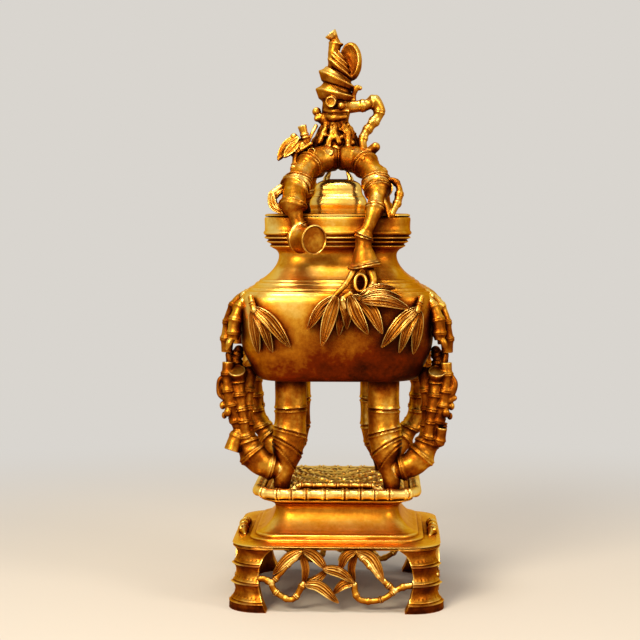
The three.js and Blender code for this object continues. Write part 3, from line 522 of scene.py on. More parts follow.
corners = [("front_left", -1, -1), ("front_right", 1, -1), ("back_right", 1, 1), ("back_left", -1, 1)]
quarters = (0, 90, 180, 270)
halves = (("front", 0), ("back", 180))


# %% [markdown]
# Stand: feet
# Four corner feet are the corners of one skirt of three flared bamboo joints, parted by an archway
# in each side. One corner is worked out and turned three times. The outer face is a grid: heights up
# and places along the corner. Each joint draws in below its lip, and the lip is two fine ridges with
# a row of punched dots above it.

# %% Feet
foot_reach, foot_top_half, foot_wall, foot_height = 48.0, 46.0, 8.0, 28.3
foot_lips = np.array([3.4, 11.7, 20.0, 27.6])
joint_draw = 1.8
archway_edge = smooth_line([
    [0.0, 30.4], [4.2, 32.2], [9.6, 33.6], [15.6, 34.0], [20.9, 33.1], [24.9, 31.0], [27.6, 28.0],
    [foot_height, 27.4],
], 120)[0]
dot_pitch, dot_depth, dot_above_lip = 2.0, 0.3, 2.3


def corner_path(half, edge, shares):
    """A way round one corner: straight, an arc of radius 0.3 half, straight, between two archways."""
    bend, flat = 0.3 * half, 0.7 * half
    first = np.arcsin(np.clip((edge - flat) / bend, 0, 1))
    straight = np.clip(flat - edge, 0, None)
    whole = 2 * straight + bend * (np.pi / 2 - 2 * first)
    run = shares * whole
    angle = np.clip(first + (run - straight) / bend, first, np.pi / 2 - first)
    x = flat + bend * np.cos(angle)
    y = flat + bend * np.sin(angle)
    y = np.where(run < straight, edge + run, y)
    x = np.where(run < straight, half, x)
    x = np.where(run > whole - straight, edge + whole - run, x)
    y = np.where(run > whole - straight, half, y)
    return -x, -y, run


def foot_shell(rows=100, columns=92):
    """Half width: 46 to 48 down the foot, drawn in by 1.8 sin^0.8 between lips, plus ridges at the lips."""
    z = np.linspace(0, foot_height, rows)[:, None]
    shares = np.linspace(0, 1, columns)[None, :]
    splay = np.interp(z, [0, 3, 8, foot_height], [foot_reach, foot_reach - 0.1, 47.2, foot_top_half])
    place = np.interp(z, np.concatenate([[0], foot_lips]), [0, 0, 1, 2, 3])
    half = splay - joint_draw * np.abs(np.sin(np.pi * place)) ** 0.8 * (z > foot_lips[0])
    for lip in foot_lips:
        d = z - lip
        half = half + 0.34 * np.exp(-(d / 0.34) ** 2) + 0.22 * np.exp(-((d - 1.1) / 0.3) ** 2)
        half = half - 0.22 * np.exp(-((d - 0.55) / 0.22) ** 2)
    edge = np.interp(z, archway_edge[:, 0], archway_edge[:, 1])
    half = np.minimum(half, foot_reach)
    x, y, run = corner_path(half, edge, shares)
    dots = np.zeros_like(x)
    for lip in foot_lips[:3]:
        dots = dots + np.exp(-((z - lip - dot_above_lip) / 0.34) ** 2)
    dots = dots * np.clip(np.cos(2 * np.pi * run / dot_pitch), 0, 1) ** 3
    outer = np.stack([x, y, z * np.ones_like(x)], axis=-1)
    outer[..., :2] *= (1 - dot_depth * dots / foot_reach)[..., None]
    back_x, back_y, _ = corner_path(half * 0 + foot_reach - foot_wall, edge, shares)
    inner = np.stack([back_x, back_y, z * np.ones_like(back_x)], axis=-1)
    return slab(outer, inner)


foot = foot_shell()
for (name, _, _), degrees in zip(corners, quarters):
    piece(f"cast_foot_{name}", [turned(foot, degrees)], "stand", [f"foot_{name}"], "bamboo_gilt")
print("feet: four, lips at", foot_lips, "mm")

# %% [markdown]
# Stand: aprons
# Between the feet hang pierced panels of jointed stems and ribbed leaves. They are drawn once, as x
# and z on the front face, and turned to the other three sides. Stems are thin culms. Leaves are
# chased blades a little in front of or behind them, so that they cross as cast ones do.

# %% Aprons
apron_y = -44.6
rail_y, rail_z, rail_half = apron_y + 0.5, 27.8, 30
apron_stems = [
    ([(-33.4, 14.6), (-31.4, 14.4), (-28.2, 13.2), (-24.8, 16.6), (-21.7, 20.2), (-18, 23.8),
      (-15.2, 26.8)], [0.16, 0.32, 0.66, 0.84]),
    ([(-28.6, 13.4), (-27.2, 9.8), (-23.9, 7.0), (-19.8, 5.4), (-17.6, 6.6), (-15.2, 10.6),
      (-14.2, 12.4)], [0.25, 0.48, 0.72, 0.95]),
    ([(33.4, 12.0), (29.6, 11.4), (26, 9.6), (21.5, 6.4), (16.4, 5.0), (10.4, 5.8), (8.6, 9.0),
      (8.2, 12.6)], [0.12, 0.28, 0.47, 0.64, 0.84]),
    ([(9.4, 27), (12.4, 23.4), (17.5, 18), (22, 13.2), (26, 9.6)], [0.15, 0.35, 0.6, 0.85]),
]
apron_blades = [
    ([(-14.6, 27.4), (-20.2, 24.4), (-27.6, 16.6)], 2.1, -0.5),
    ([(-15.2, 26.6), (-13.2, 19), (-14.4, 11.2)], 1.6, 0.3),
    ([(-14.4, 27.6), (-9.6, 25.4), (-3.6, 18.6)], 2.1, -0.4),
    ([(-13.8, 12.4), (-7.6, 11.8), (1.4, 4.2)], 2.2, -0.6),
    ([(-13.6, 12.6), (-8, 14.6), (-3.0, 19.4)], 1.7, 0.5),
    ([(-5.6, 19.6), (1.6, 18.0), (8.4, 13.2)], 2.1, -0.7),
    ([(8.6, 13.4), (3.8, 12.6), (-1.2, 8.2)], 1.9, -0.3),
    ([(9.0, 27.4), (4.6, 25.0), (1.6, 18.2)], 1.9, -0.4),
    ([(9.4, 27), (7.0, 20), (8.4, 12.2)], 1.6, 0.4),
    ([(9.2, 27.4), (15.6, 24.4), (21.2, 13.6)], 2.3, -0.5),
]


def on_apron(points, forward=0.0):
    """Points drawn as x and z, set on the apron's plane or a little in front of it."""
    return [(x, apron_y + forward, z) for x, z in points]


def apron_shells():
    """Stems, blades, and the rail that they hang from, which is a low half-round bar."""
    shells = [
        culm(on_apron(line), [1.45, 1.3, 1.45], nodes, start="round", end="round", around=18, step=0.4,
             flare=0.2, ridge=0.3, groove=0.12, gap=0.4, reach=0.8)
        for line, nodes in apron_stems
    ]
    shells += [
        leaf(on_apron(line, forward), (0, -1, 0), 1.12 * half, thick=1.4, ribs=0.5, rows=30, across=25,
             drop=0.6)
        for line, half, forward in apron_blades
    ]
    bar = square_plan(0.4, 3, 3)
    x = np.linspace(-rail_half, rail_half, 40)[:, None]
    section = np.stack(np.broadcast_arrays(x, rail_y - bar[:, 1], rail_z + 0.45 * bar[:, 0]), axis=-1)
    shells.append(ringed(section, (-rail_half, rail_y, rail_z), (rail_half, rail_y, rail_z)))
    return join(shells)


apron = apron_shells()
for name, degrees in zip(("front", "right", "back", "left"), quarters):
    piece(f"pierced_apron_{name}", [turned(apron, degrees)], "stand", [f"apron_{name}"], "chased_gilt")
print("apron points:", len(apron[0]))

# %% [markdown]
# Stand: plinth and tray
# The plinth is a plate that slopes to its edge, two thin steps and a concave waist, all one profile
# carried round a rounded square. A low culm with three buds lies on its plate at the left and at the
# right. The tray is a deck with a thin lip, and a floor inside.

# %% Plinth and deck
stand_plan = square_plan(0.3, 14, 26, bow=0.006)
waist = smooth_line([
    [34.6, 33.0], [32.7, 34.2], [30.6, 36.4], [29.0, 39.0], [28.2, 41.4], [28.2, 43.2], [28.9, 44.5],
    [30.2, 45.3],
], 40)[0]
plinth_plate = [[46.0, 28.6], [46.6, 28.75], [46.8, 29.0], [46.5, 29.25], [43.0, 29.35], [40.2, 29.5]]
plinth_steps = [
    [39.5, 29.65], [39.3, 29.85], [39.3, 30.5], [39.05, 30.8], [38.3, 30.95],
    [37.2, 31.05], [36.95, 31.25], [36.9, 32.1], [36.6, 32.45], [35.9, 32.65], [35.2, 32.8],
]
plinth_inside = [[27.2, 45.3], [26.0, 40.6], [33.0, 31.6], [34.2, 30.4], [34.2, 28.6]]
plinth_profile = np.concatenate([plinth_plate, plinth_steps, waist, plinth_inside])


def side_rail(side):
    """A low culm with three buds that lies along the middle of one side of the plate."""
    line = [(42.0, -19, 29.4), (43.4, -11, 30.5), (43.8, 2, 30.7), (42.6, 15, 29.8)]
    buds = [(44.2, -13, 2.4), (43.4, -3.4, 3.0), (44.0, 7, 2.6)]
    rail = culm([(side * x, y, z) for x, y, z in line], [0.9, 1.9, 1.6, 2.0, 1.7, 0.9],
                [0.2, 0.42, 0.6, 0.8], start="round", end="round", around=22, step=0.4,
                flare=0.2, ridge=0.3, groove=0.3, gap=0.5, reach=1.2)
    return [rail, *(knob((side * x, y, 31.2), (1.6, size, 1.5)) for x, y, size in buds)]


plinth = [hooped(squared(eased(plinth_profile, 1.2), stand_plan)), *side_rail(-1), *side_rail(1)]
piece("plinth_casting", plinth, "stand", ["stand_plinth"], "polished_gilt")

deck_profile = [
    [29.4, 45.6], [30.6, 45.7], [32.4, 46.3], [34.0, 46.9], [34.4, 47.2], [34.3, 47.6], [33.8, 47.85],
    [32.8, 47.9], [32.6, 48.1], [32.6, 50.9], [32.4, 51.2], [31.9, 51.3], [24, 51.25], [12, 51.2],
]
deck = ringed(squared(eased(deck_profile, 1.5), stand_plan), (0, 0, 45.6), (0, 0, 51.2))
piece("tray_deck_casting", [deck], "stand", ["tray_deck"], "polished_gilt")
print("plinth and deck: waist half width", round(waist[:, 0].min(), 2), "mm")

# %% [markdown]
# Stand: the culm round the tray
# A stout culm with close nodes is bent round the tray. Along it the radius repeats at every joint: a
# soft swell, and two fine ridges with a groove between. A short rod lies inside it at the front.

# %% Tray ring and rod
ring_half, ring_z, ring_radius, joint_count = 35.5, 50.8, 2.6, 36


def closed_line(plan, count):
    """The plan's outline at equal steps of length, as a line that closes on itself."""
    loop = np.vstack([plan, plan[:1]])
    run = np.concatenate([[0], np.cumsum(np.linalg.norm(np.diff(loop, axis=0), axis=1))])
    even = np.linspace(0, run[-1], count, endpoint=False)
    return np.column_stack([np.interp(even, run, column) for column in loop.T]), run[-1]


def tray_ring_shell(count=760, around=30):
    """Radius: 0.8 r, plus 0.15 r e^-(d/1.6)^2, with the ridges and groove of a node at d = 0."""
    flat, length = closed_line(square_plan(0.3, 24, 24) * ring_half, count)
    line = np.column_stack([flat, np.full(count, ring_z)])
    direction, _ = spokes(line, around, closed=True)
    pitch = length / joint_count
    run = np.arange(count) * length / count
    wobble = 0.16 * np.sin(run * 2 * np.pi * 7 / length)
    d = (run + wobble * pitch + pitch / 2) % pitch - pitch / 2
    uneven = 0.02 * np.cos(run * 2 * np.pi * 11 / length)
    radius = ring_radius * (0.80 + 0.15 * np.exp(-(d / 1.6) ** 2) + uneven)
    radius = radius + 0.30 * np.exp(-((np.abs(d) - 0.75) / 0.40) ** 2) - 0.45 * np.exp(-(d / 0.36) ** 2)
    radius = np.minimum(radius, ring_radius)
    return hooped(line[:, None] + direction * radius[:, None, None])


piece("tray_ring_culm", [tray_ring_shell()], "stand", ["tray_ring"], "bamboo_gilt", finish="mat_gilt")

rod_y, rod_z, rod_half = -30.1, 53.55, 16.4
rod = culm([(-rod_half, rod_y, rod_z), (0, rod_y, rod_z), (rod_half, rod_y, rod_z)], [1.75, 1.7, 1.75],
           [0.02, 0.17, 0.33, 0.5, 0.67, 0.83, 0.98], start="cut", end="cut", around=24, step=0.3,
           flare=0.16, ridge=0.22, groove=0.2, gap=0.5, reach=1.2)
piece("tray_rod_culm", [rod], "stand", ["tray_rod"], "bamboo_gilt", finish="rubbed_gilt")
print("tray ring:", joint_count, "joints, rod", 2 * rod_half, "mm long")

# %% [markdown]
# Stand: the mat of roots
# Inside the ring lies a mat of knobbly roots. It is a height field: rows of beads set half a step
# apart from row to row, roughened by a slower wave, and sunk to nothing where a leg comes down.

# %% Root mat
mat_z, mat_top = 51.6, 51.62
mat_half, mat_front, mat_limit = 30.4, 27.6, 3.15
row_pitch, bead_pitch = 4.2, 5.0
leg_places = [(-24.8, -24.0), (24.8, -24.0), (20.8, 24.0), (-24.8, 24.0)]
leg_clear, lower_outside = 4.2, 25.2


def root_mat_shell(columns=205, rows=196):
    """Height: 0.3 + h sqrt(1 - r^2) over each bead of staggered rows, with a dimple. It sinks round each
    leg and towards the rim, and is lower outside the tray's inner edge."""
    x = np.linspace(-mat_half, mat_half, columns)[None, :]
    y = np.linspace(-mat_front, mat_half, rows)[:, None]
    x_bent = x + 0.8 * np.sin(y / 3.3) + 0.5 * np.sin(y / 1.9 + x / 4.1)
    y_bent = y + 0.7 * np.sin(x / 3.7 + 0.6)
    row_number = np.round(y_bent / row_pitch)
    across = x_bent / bead_pitch + 0.5 * (row_number % 2) + 0.17 * np.sin(3.1 * row_number)
    off_x = bead_pitch * (across - np.round(across))
    off_y = y_bent - row_pitch * row_number
    bead_number = np.round(across) * 7.3 + row_number * 3.7
    size = 2.5 + 0.3 * np.sin(bead_number)
    dome = np.sqrt(np.clip(1 - (off_x / size) ** 2 - (off_y / (0.9 * size)) ** 2, 0, 1))
    dimple = np.exp(-((off_x - 0.3) ** 2 + (off_y + 0.5) ** 2) / 0.35) * (np.sin(5.3 * bead_number) > -0.2)
    height = 0.3 + (2.1 + 0.55 * np.sin(2.1 * bead_number)) * dome - 0.45 * dimple
    height = np.minimum(height, mat_limit)
    for leg_x, leg_y in leg_places:
        away = np.hypot(x - leg_x, y - leg_y)
        height = height * np.clip((away - leg_clear) / 2.0, 0.02, 1)
    rim = np.minimum(np.minimum(mat_half - np.abs(x), mat_half - y), y + mat_front)
    outside = np.clip(np.maximum(np.abs(x), y) - lower_outside, 0, 2.0) / 2.0
    height = height * np.clip(rim / 1.2, 0.03, 1) ** 0.5 * (1 - 0.42 * outside)
    top = np.stack(np.broadcast_arrays(x, y, mat_top + height), axis=-1)
    under = np.stack(np.broadcast_arrays(x, y, np.full_like(height, mat_z)), axis=-1)
    return slab(top, under)


root_mat = root_mat_shell()
piece("root_mat_casting", [root_mat], "stand", ["tray_mat"], "bamboo_gilt", finish="mat_gilt")
print("root mat: highest bead at", round(root_mat[0][:, 2].max(), 2), "mm")

# %% [markdown]
# Burner: the bowl
# The bowl is one profile: a full belly with a soft crease low down, a shoulder with two pairs of fine
# lines, a waisted neck, three ridges and a tall plain rim. Inside, it is hollow to hold the ash.

# %% Bowl
bowl_z, bowl_floor = 100.5, 105.7
bowl_plan = square_plan(0.4, 18, 26, bow=0.012)
bowl_outside = smooth_line([
    [31.5, bowl_z], [34.9, 101.0], [37.4, 103.2], [39.3, 107.0], [41.4, 111.5], [42.9, 115.6],
    [43.75, 122.0], [44.0, 128.5], [43.95, 134.0], [43.6, 137.6], [42.7, 139.6], [40.9, 141.2],
    [38.2, 143.2], [34.9, 145.7], [32.0, 147.9], [29.6, 150.3], [27.8, 153.0], [26.95, 155.7],
    [27.1, 157.6], [28.1, 159.0], [29.4, 159.8],
], 300)[0]
ridge_lines = [(145.6, 0.3), (144.2, 0.3), (142.0, 0.34), (140.5, 0.34)]
for line_z, line_height in ridge_lines:
    raised = line_height * np.exp(-((bowl_outside[:, 1] - line_z) / 0.3) ** 2)
    bowl_outside = bowl_outside + np.column_stack([0.7 * raised, 0.7 * raised])
ridge_z = np.linspace(160.0, 166.0, 60)
ridge_half = np.interp(ridge_z, [160, 162.6, 164.4, 166], [29.7, 31.4, 32.5, 33.3])
for middle in (160.7, 162.7, 164.5):
    ridge_half = ridge_half + 0.75 * np.exp(-((ridge_z - middle) / 0.42) ** 2)
    ridge_half = ridge_half - 0.5 * np.exp(-((ridge_z - middle - 1.0) / 0.32) ** 2)
ridge_half = np.minimum(ridge_half, 33.5)
rim = [
    [33.55, 166.3], [33.7, 166.8], [33.45, 167.4], [33.1, 167.8], [33.05, 170], [33.2, 172.6],
    [33.15, 173.4], [32.9, 173.75], [31.3, 173.8], [30.9, 173.5], [30.85, 168.0],
]
bowl_inside = [
    [24.3, 156], [31.2, 146], [39.0, 138], [41.3, 128.5], [36.1, 108.5], [30.1, bowl_floor],
    [12, bowl_floor],
]
bowl_profile = np.concatenate([bowl_outside, np.column_stack([ridge_half, ridge_z]), rim, bowl_inside])
piece("bowl_casting", [ringed(squared(bowl_profile, bowl_plan), (0, 0, bowl_z), (0, 0, bowl_floor))],
      "burner", ["vessel"], "polished_gilt", finish="bowl_gilt")
print("bowl: belly", round(bowl_outside[:, 0].max(), 2), "mm half width")


# %% Where the bowl's face is
def bowl_face(x, z):
    """How far out the bowl's flat side or round corner is, at a place along it and a height."""
    half = np.interp(z, bowl_outside[:, 1], bowl_outside[:, 0])
    past = np.maximum(np.abs(x) - 0.6 * half, 0)
    return np.where(past > 0, 0.6 * half + np.sqrt(np.maximum((0.4 * half) ** 2 - past ** 2, 0)), half)


print("bowl face at a height of 125 mm:", round(float(bowl_face(0.0, 125.0)), 2), "mm out")


# %% [markdown]
# Burner: legs and side culms
# Each leg is a stout culm that narrows to a root on the tray, with its nodes cut more and more at a
# slant as it bends. From the root a thick joint turns out and up into a side culm with a cut top,
# and that carries a second stem, a stub, a shoot, a short joint and beads. The back ones are turned
# and lean outwards, and the back right leg stands further in, as they show through the openings.

# %% Legs
burner_z = 51.6
leg_spread, leg_row = 21.0, 21
spreads = {"front_left": leg_spread, "front_right": leg_spread, "back_right": 17.0, "back_left": leg_spread}


def leg_shell(sx, sy, spread):
    """A culm whose radius goes from 3.6 at the root to 7.2, with four nodes."""
    stations = [(3.8, burner_z), (3.5, 57.4), (1.7, 66.3), (0.4, 76), (0, 88.3), (0, bowl_z + 2.4)]
    line = [(sx * (spread + lean), sy * (leg_row + lean * 0.8), z) for lean, z in stations]
    nodes = [(0.255, 0.85), (0.37, 0.5), (0.50, 0.22), (0.70, -0.06)]
    return culm(line, [3.6, 4.6, 6.6, 7.1, 6.9, 7.1, 7.2], nodes, lean=(-sx, -0.3 * sy, 0), around=48,
                step=0.4, flare=0.05, ridge=0.36, groove=0.34, gap=0.85, reach=3.4)


for name, sx, sy in corners:
    leg = leg_shell(sx, sy, spreads[name])
    piece(f"bamboo_leg_{name}", [leg], "burner", [f"leg_{name}"], "bamboo_gilt")
print("legs: spread", spreads)


# %% Side culms: the stems that all four have
def side_culm_stems(stub_line, stub_radii):
    """Handle, column, outer stem, stub, shoot and joint of a front-right corner, and four beads."""
    return [
        culm([(leg_spread + 4.6, 23.6, 59.8), (34.4, 24.6, 63.4), (39.4, 24.3, 69.8), (41.7, 23.2, 77),
              (41.9, 22.6, 87), (41.0, 22.4, 97), (39.6, 22.4, 103.6)],
             [4.4, 5.6, 6.1, 5.1, 4.3, 4.0, 3.7, 3.6, 3.4],
             [(0.08, 0.4), (0.29, 0.3), 0.40, 0.56, 0.70, 0.86], lean=(0.5, 0, 0), end="round", around=34,
             step=0.4, flare=0.18, groove=0.36, gap=0.6, reach=1.3),
        culm([(40.0, 25.4, 70.5), (41.6, 27.2, 78), (42.6, 27.7, 86), (44.0, 27.0, 94), (44.6, 26.4, 100.6),
              (44.7, 29.4, 105.4)],
             [2.9, 2.7, 2.4, 2.3, 2.8, 3.1, 3.2, 4.0], [0.16, 0.34, 0.48, 0.66, 0.84], end="flat",
             around=30, step=0.3, flare=0.2, gap=0.5, reach=1.0),
        culm([(43.4, 26.2, 76.5), (45.8, 27.2, 84), (47.8, 27.6, 92), (48.9, 27.6, 100),
              (48.6, 27.0, 108.8)],
             [2.3, 2.6, 2.7, 2.6, 2.8], [0.2, 0.42, 0.62, 0.84], end="cut", around=24, step=0.4,
             flare=0.24, ridge=0.26, groove=0.2, gap=0.5, reach=1.1),
        culm(stub_line, stub_radii, [0.42], end="open", around=28, step=0.3, flare=0.15, ridge=0.22,
             groove=0.2, gap=0.5, reach=1.0),
        culm([(48.4, 26.6, 103.4), (48.2, 26.4, 108.6), (48.8, 26.4, 112.4)], [1.5, 1.6, 1.3], [0.4],
             end="round", around=18, step=0.4, flare=0.25, ridge=0.2, groove=0.15, gap=0.4, reach=1.0),
        culm([(40.6, 22.6, 101), (44.2, 23.8, 104.6), (45.6, 23.8, 109.4), (44.2, 23.2, 114.2)],
             [2.6, 2.9, 2.7, 2.5, 2.2], [0.34, 0.62, 0.86], end="round", around=22, step=0.3,
             flare=0.26, ridge=0.26, groove=0.2, gap=0.5, reach=1.1),
        knob((48.6, 29.6, 86.6), (1.9, 1.9, 2.2)), knob((51.2, 27.6, 89.4), (1.5, 1.5, 1.9)),
        knob((47.2, 26.0, 83.4), (1.8, 1.8, 1.4)), knob((50.6, 26.4, 84.8), (1.3, 1.3, 1.7)),
    ]


# %% Side culms: the two kinds of growth
def beaked_side_culm():
    """With an upright stub, a beak-shaped bud, a loop of thin stem and a short stem beside the elbow."""
    stub_line = [(42.4, 26, 72.6), (45.6, 27.2, 73.6), (46.8, 27.8, 79.8)]
    stems = side_culm_stems(stub_line, [2.4, 2.6, 2.5, 2.7])
    return stems + [
        culm([(49.6, 27.6, 92.6), (51.6, 28, 96.4), (52.4, 28, 99.6), (51.4, 28, 103.2)],
             [1.5, 1.9, 1.7, 0.9], around=18, **rounded),
        culm([(50.2, 28, 92), (52.6, 28.2, 93.2)], [1.6, 1.3], around=16, **rounded),
        culm([(44.6, 22.0, 82.4), (47.2, 20.6, 79.6), (46.6, 20.2, 75.6), (43.4, 20.6, 74.4),
              (42.2, 21, 78.4), (43.6, 21.4, 81.6)], [1.0, 0.9, 0.9, 1.0], around=14, **rounded),
        knob((44.4, 20.6, 77.8), (1.5, 1.5, 1.6)),
        culm([(46.4, 25.6, 74.2), (47.6, 25.8, 81.8)], [1.9, 1.9], [0.1, 0.9], start="cut", end="cut",
             around=18, step=0.3, flare=0.1, reach=1.0),
    ]


def looped_side_culm():
    """With a bell-shaped stub that hangs, a loop of thin stem with a bud in it, and a bud at the elbow."""
    stub_line = [(42.6, 26, 79.5), (45.4, 27.6, 74.6), (47.2, 28.4, 69.2)]
    stems = side_culm_stems(stub_line, [2.0, 2.9, 3.2, 3.5])
    return stems + [
        culm([(50.4, 27.6, 92.4), (52.6, 28, 94.4), (53.2, 28, 98), (52.2, 28, 101.4), (50.0, 28, 102.6)],
             [1.2, 1.1, 0.9, 1.1, 0.9], around=16, **rounded),
        knob((51.0, 28, 97.4), (1.3, 1.3, 2.6)),
        culm([(40.6, 21.6, 70.2), (42.6, 20.2, 72.2)], [2.4, 2.0], end="round", around=16, step=0.3),
    ]


# %% Side culms: in place
side_culms = {"front_left": looped_side_culm, "front_right": beaked_side_culm,
              "back_right": looped_side_culm, "back_left": beaked_side_culm}
back_turn, back_lean = 33.0, 4.6
lean_from, lean_over = 64, 18


def swung(shell, inward):
    """A side culm as the back ones stand: turned about the upright line through its leg, leaning out by
    an amount that eases in from 0 to back_lean above the elbow, and moved inward with its leg."""
    points, quads, fans = shell
    points, _, _ = turned((points - [leg_spread, leg_row, 0], quads, fans), back_turn)
    share = np.clip((points[:, 2] - lean_from) / lean_over, 0, 1)
    points[:, 0] += back_lean * share ** 2 * (3 - 2 * share)
    return points + [leg_spread, leg_row, 0] - np.array([inward, 0, 0]), quads, fans


for name, sx, sy in corners:
    shells = side_culms[name]()
    if sy > 0:
        shells = [swung(shell, leg_spread - spreads[name]) for shell in shells]
    shells = [mirrored(shell, sx, sy) for shell in shells]
    piece(f"side_culm_{name}", shells, "burner", [f"culm_{name}"], "bamboo_gilt", melt_mm=0.3)
print("side culms: back ones turned by", back_turn, "degrees")


# %% [markdown]
# Burner: twigs and leaf sprays on the shoulder
# From each shoulder corner two short jointed culms hang outside the belly, and a spray of three
# leaves lies on its front. The leaves follow the bowl's face at a small distance, on their own walls.

# %% Shoulder twigs
def twig_shells():
    """The two twigs of a front-right corner, with the bridge between them, a bud and their root."""
    thin = {"around": 26, "step": 0.35, "flare": 0.22, "ridge": 0.26, "groove": 0.2, "gap": 0.5,
            "reach": 1.3}
    return [
        culm([(39.6, 25, 139.6), (44.0, 26, 136.6), (47.6, 26.8, 130.4), (48.8, 26.8, 123.4),
              (49.4, 26.4, 113.4)], [2.0, 2.4, 2.3, 2.5, 2.8, 2.5], [0.3, 0.55, 0.8], end="cut", **thin),
        culm([(37.6, 28.6, 139.2), (42.2, 32, 134.8), (44.8, 33.6, 127.6), (45.6, 33.8, 119.6)],
             [2.0, 2.3, 2.6, 2.9, 2.3], [0.35, 0.62, 0.88], end="cut", **thin),
        culm([(45.2, 26.4, 134.2), (44.6, 33.2, 132.0)], [1.5, 1.4], [0.5], **thin),
        culm([(45.6, 34.2, 121.2), (47.4, 35.0, 118.2), (48.4, 35.0, 115.2)], [1.2, 1.5, 0.8],
             end="round", **thin),
        culm([(36.6, 24, 139.9), (41.6, 27.2, 138.4)], [2.2, 2.4], [0.6], start="round", end="round",
             **thin),
    ]


for name, sx, sy in corners:
    shells = [mirrored(shell, sx, sy) for shell in twig_shells()]
    piece(f"hanging_twigs_{name}", shells, "burner", [f"twig_{name}"], "bamboo_gilt", melt_mm=0.3)
print("hanging twigs:", len(shells), "shells at each corner")


# %% Leaf sprays
def on_bowl(points, off):
    """Points drawn as x and z on the front, set a small way off the bowl's face there."""
    points = np.asarray(points, float)
    return np.column_stack([points[:, 0], -(bowl_face(points[:, 0], points[:, 1]) + off), points[:, 1]])


def spray_shells():
    """The leaf spray of the front-right corner, mirrored for the others."""
    facing = (0.25, -1, 0.12)
    blades = [([(35.4, 133.8), (28.6, 128.4), (19.8, 117.0)], 2.9, 0.9),
              ([(35.8, 133.4), (31.4, 126.0), (27.4, 114.6)], 2.4, 0.5),
              ([(36.2, 133.0), (35.4, 125.6), (33.6, 113.9)], 2.5, 1.0)]
    shells = [leaf(on_bowl(line, off), facing, half, rows=40) for line, half, off in blades]
    stem = culm(on_bowl([(37.4, 138.6), (36.8, 136.4), (35.6, 132.8)], 2.0), [1.3, 1.2, 1.5], [0.5],
                start="round", end="round", around=18, step=0.3, flare=0.2, ridge=0.2, gap=0.45, reach=1.0)
    return shells + [stem]


for name, sx, sy in corners:
    shells = [mirrored(shell, sx, -sy) for shell in spray_shells()]
    piece(f"leaf_spray_{name}", shells, "burner", [f"leaves_{name}"], "chased_gilt")
print("leaf sprays:", len(shells) - 1, "leaves each")

# %% [markdown]
# Lid: plate and dome
# The plate closes the mouth, with a tongue inside the rim. The dome is two soft tiers over a flat
# band, with an open vent and a small horn on each side of it.

# %% Plate and dome
lid_plan = square_plan(0.4, 14, 16, bow=0.01)
plate_profile = [
    [30.2, 169.1], [30.25, 173.9], [30.5, 174.1], [32.7, 174.1], [32.95, 174.3], [32.9, 174.9],
    [31.9, 175.3], [20, 175.3], [10.6, 175.3], [10.6, 174.1], [28.6, 172.9], [28.6, 169.1],
]
plate = hooped(squared(eased(plate_profile, 1.5), lid_plan))
piece("lid_plate_casting", [plate], "lid", ["lid_plate"], "polished_gilt")

dome_plan = square_plan(0.46, 18, 12, bow=0.02)
dome_lower = smooth_line([
    [12.7, 175.6], [12.75, 177.6], [12.95, 178.4], [13.2, 179.4], [13.15, 180.6], [12.8, 181.9],
    [12.3, 182.8],
], 40)[0]
dome_step = [[12.15, 182.95], [12.05, 183.15]]
dome_upper = smooth_line([
    [12.1, 183.3], [11.3, 184.3], [10.9, 185.6], [10.85, 187.0], [10.5, 188.3], [9.6, 189.5],
    [8.1, 190.4], [6.6, 191.0], [5.9, 191.3],
], 50)[0]
dome_inside = [
    [4.6, 191.3], [4.4, 191.1], [4.4, 189.8], [7.7, 187.4], [9.3, 183.8], [11.2, 180.8], [11.3, 175.6],
]
dome_profile = np.concatenate([dome_lower, dome_step, dome_upper, dome_inside])


def horn(sx, sy):
    """A small horn beside the vent, which leans in as it narrows."""
    line = [(sx * x, sy * 4.3, z) for x, z in ((5.5, 189.9), (5.3, 192.0), (4.6, 193.5), (4.1, 194.7))]
    return culm(line, [1.9, 1.4, 1.0, 0.6], end="round", around=18, step=0.2)


dome = [hooped(squared(dome_profile, dome_plan)), *(horn(sx, sy) for _, sx, sy in corners)]
piece("dome_casting", dome, "lid", ["lid_dome"], "polished_gilt", finish="dome_gilt")
print("dome: widest half width", round(dome_lower[:, 0].max(), 2), "mm")


# %% [markdown]
# Lid: the bamboo arch
# Two thick culms bend over the dome, one at the front and one behind, and meet over its middle. The
# back one is the front one turned half round. Their joints flare to slanted nodes, and a groove is
# cut down the middle where the two branches were grown together.

# %% Arch
arch_middle = [-5.4, 200.8]
groove_half = 0.7


def pinch(points, centre_x, depth):
    """Points drawn in across a groove: towards the arch's own middle by depth e^-((x - c)/0.7)^2."""
    away = points[:, 1:] - arch_middle
    share = depth * np.exp(-((points[:, 0] - centre_x) / groove_half) ** 2)
    moved = points.copy()
    moved[:, 1:] -= away / (np.linalg.norm(away, axis=1)[:, None] + 1e-6) * share[:, None]
    return moved


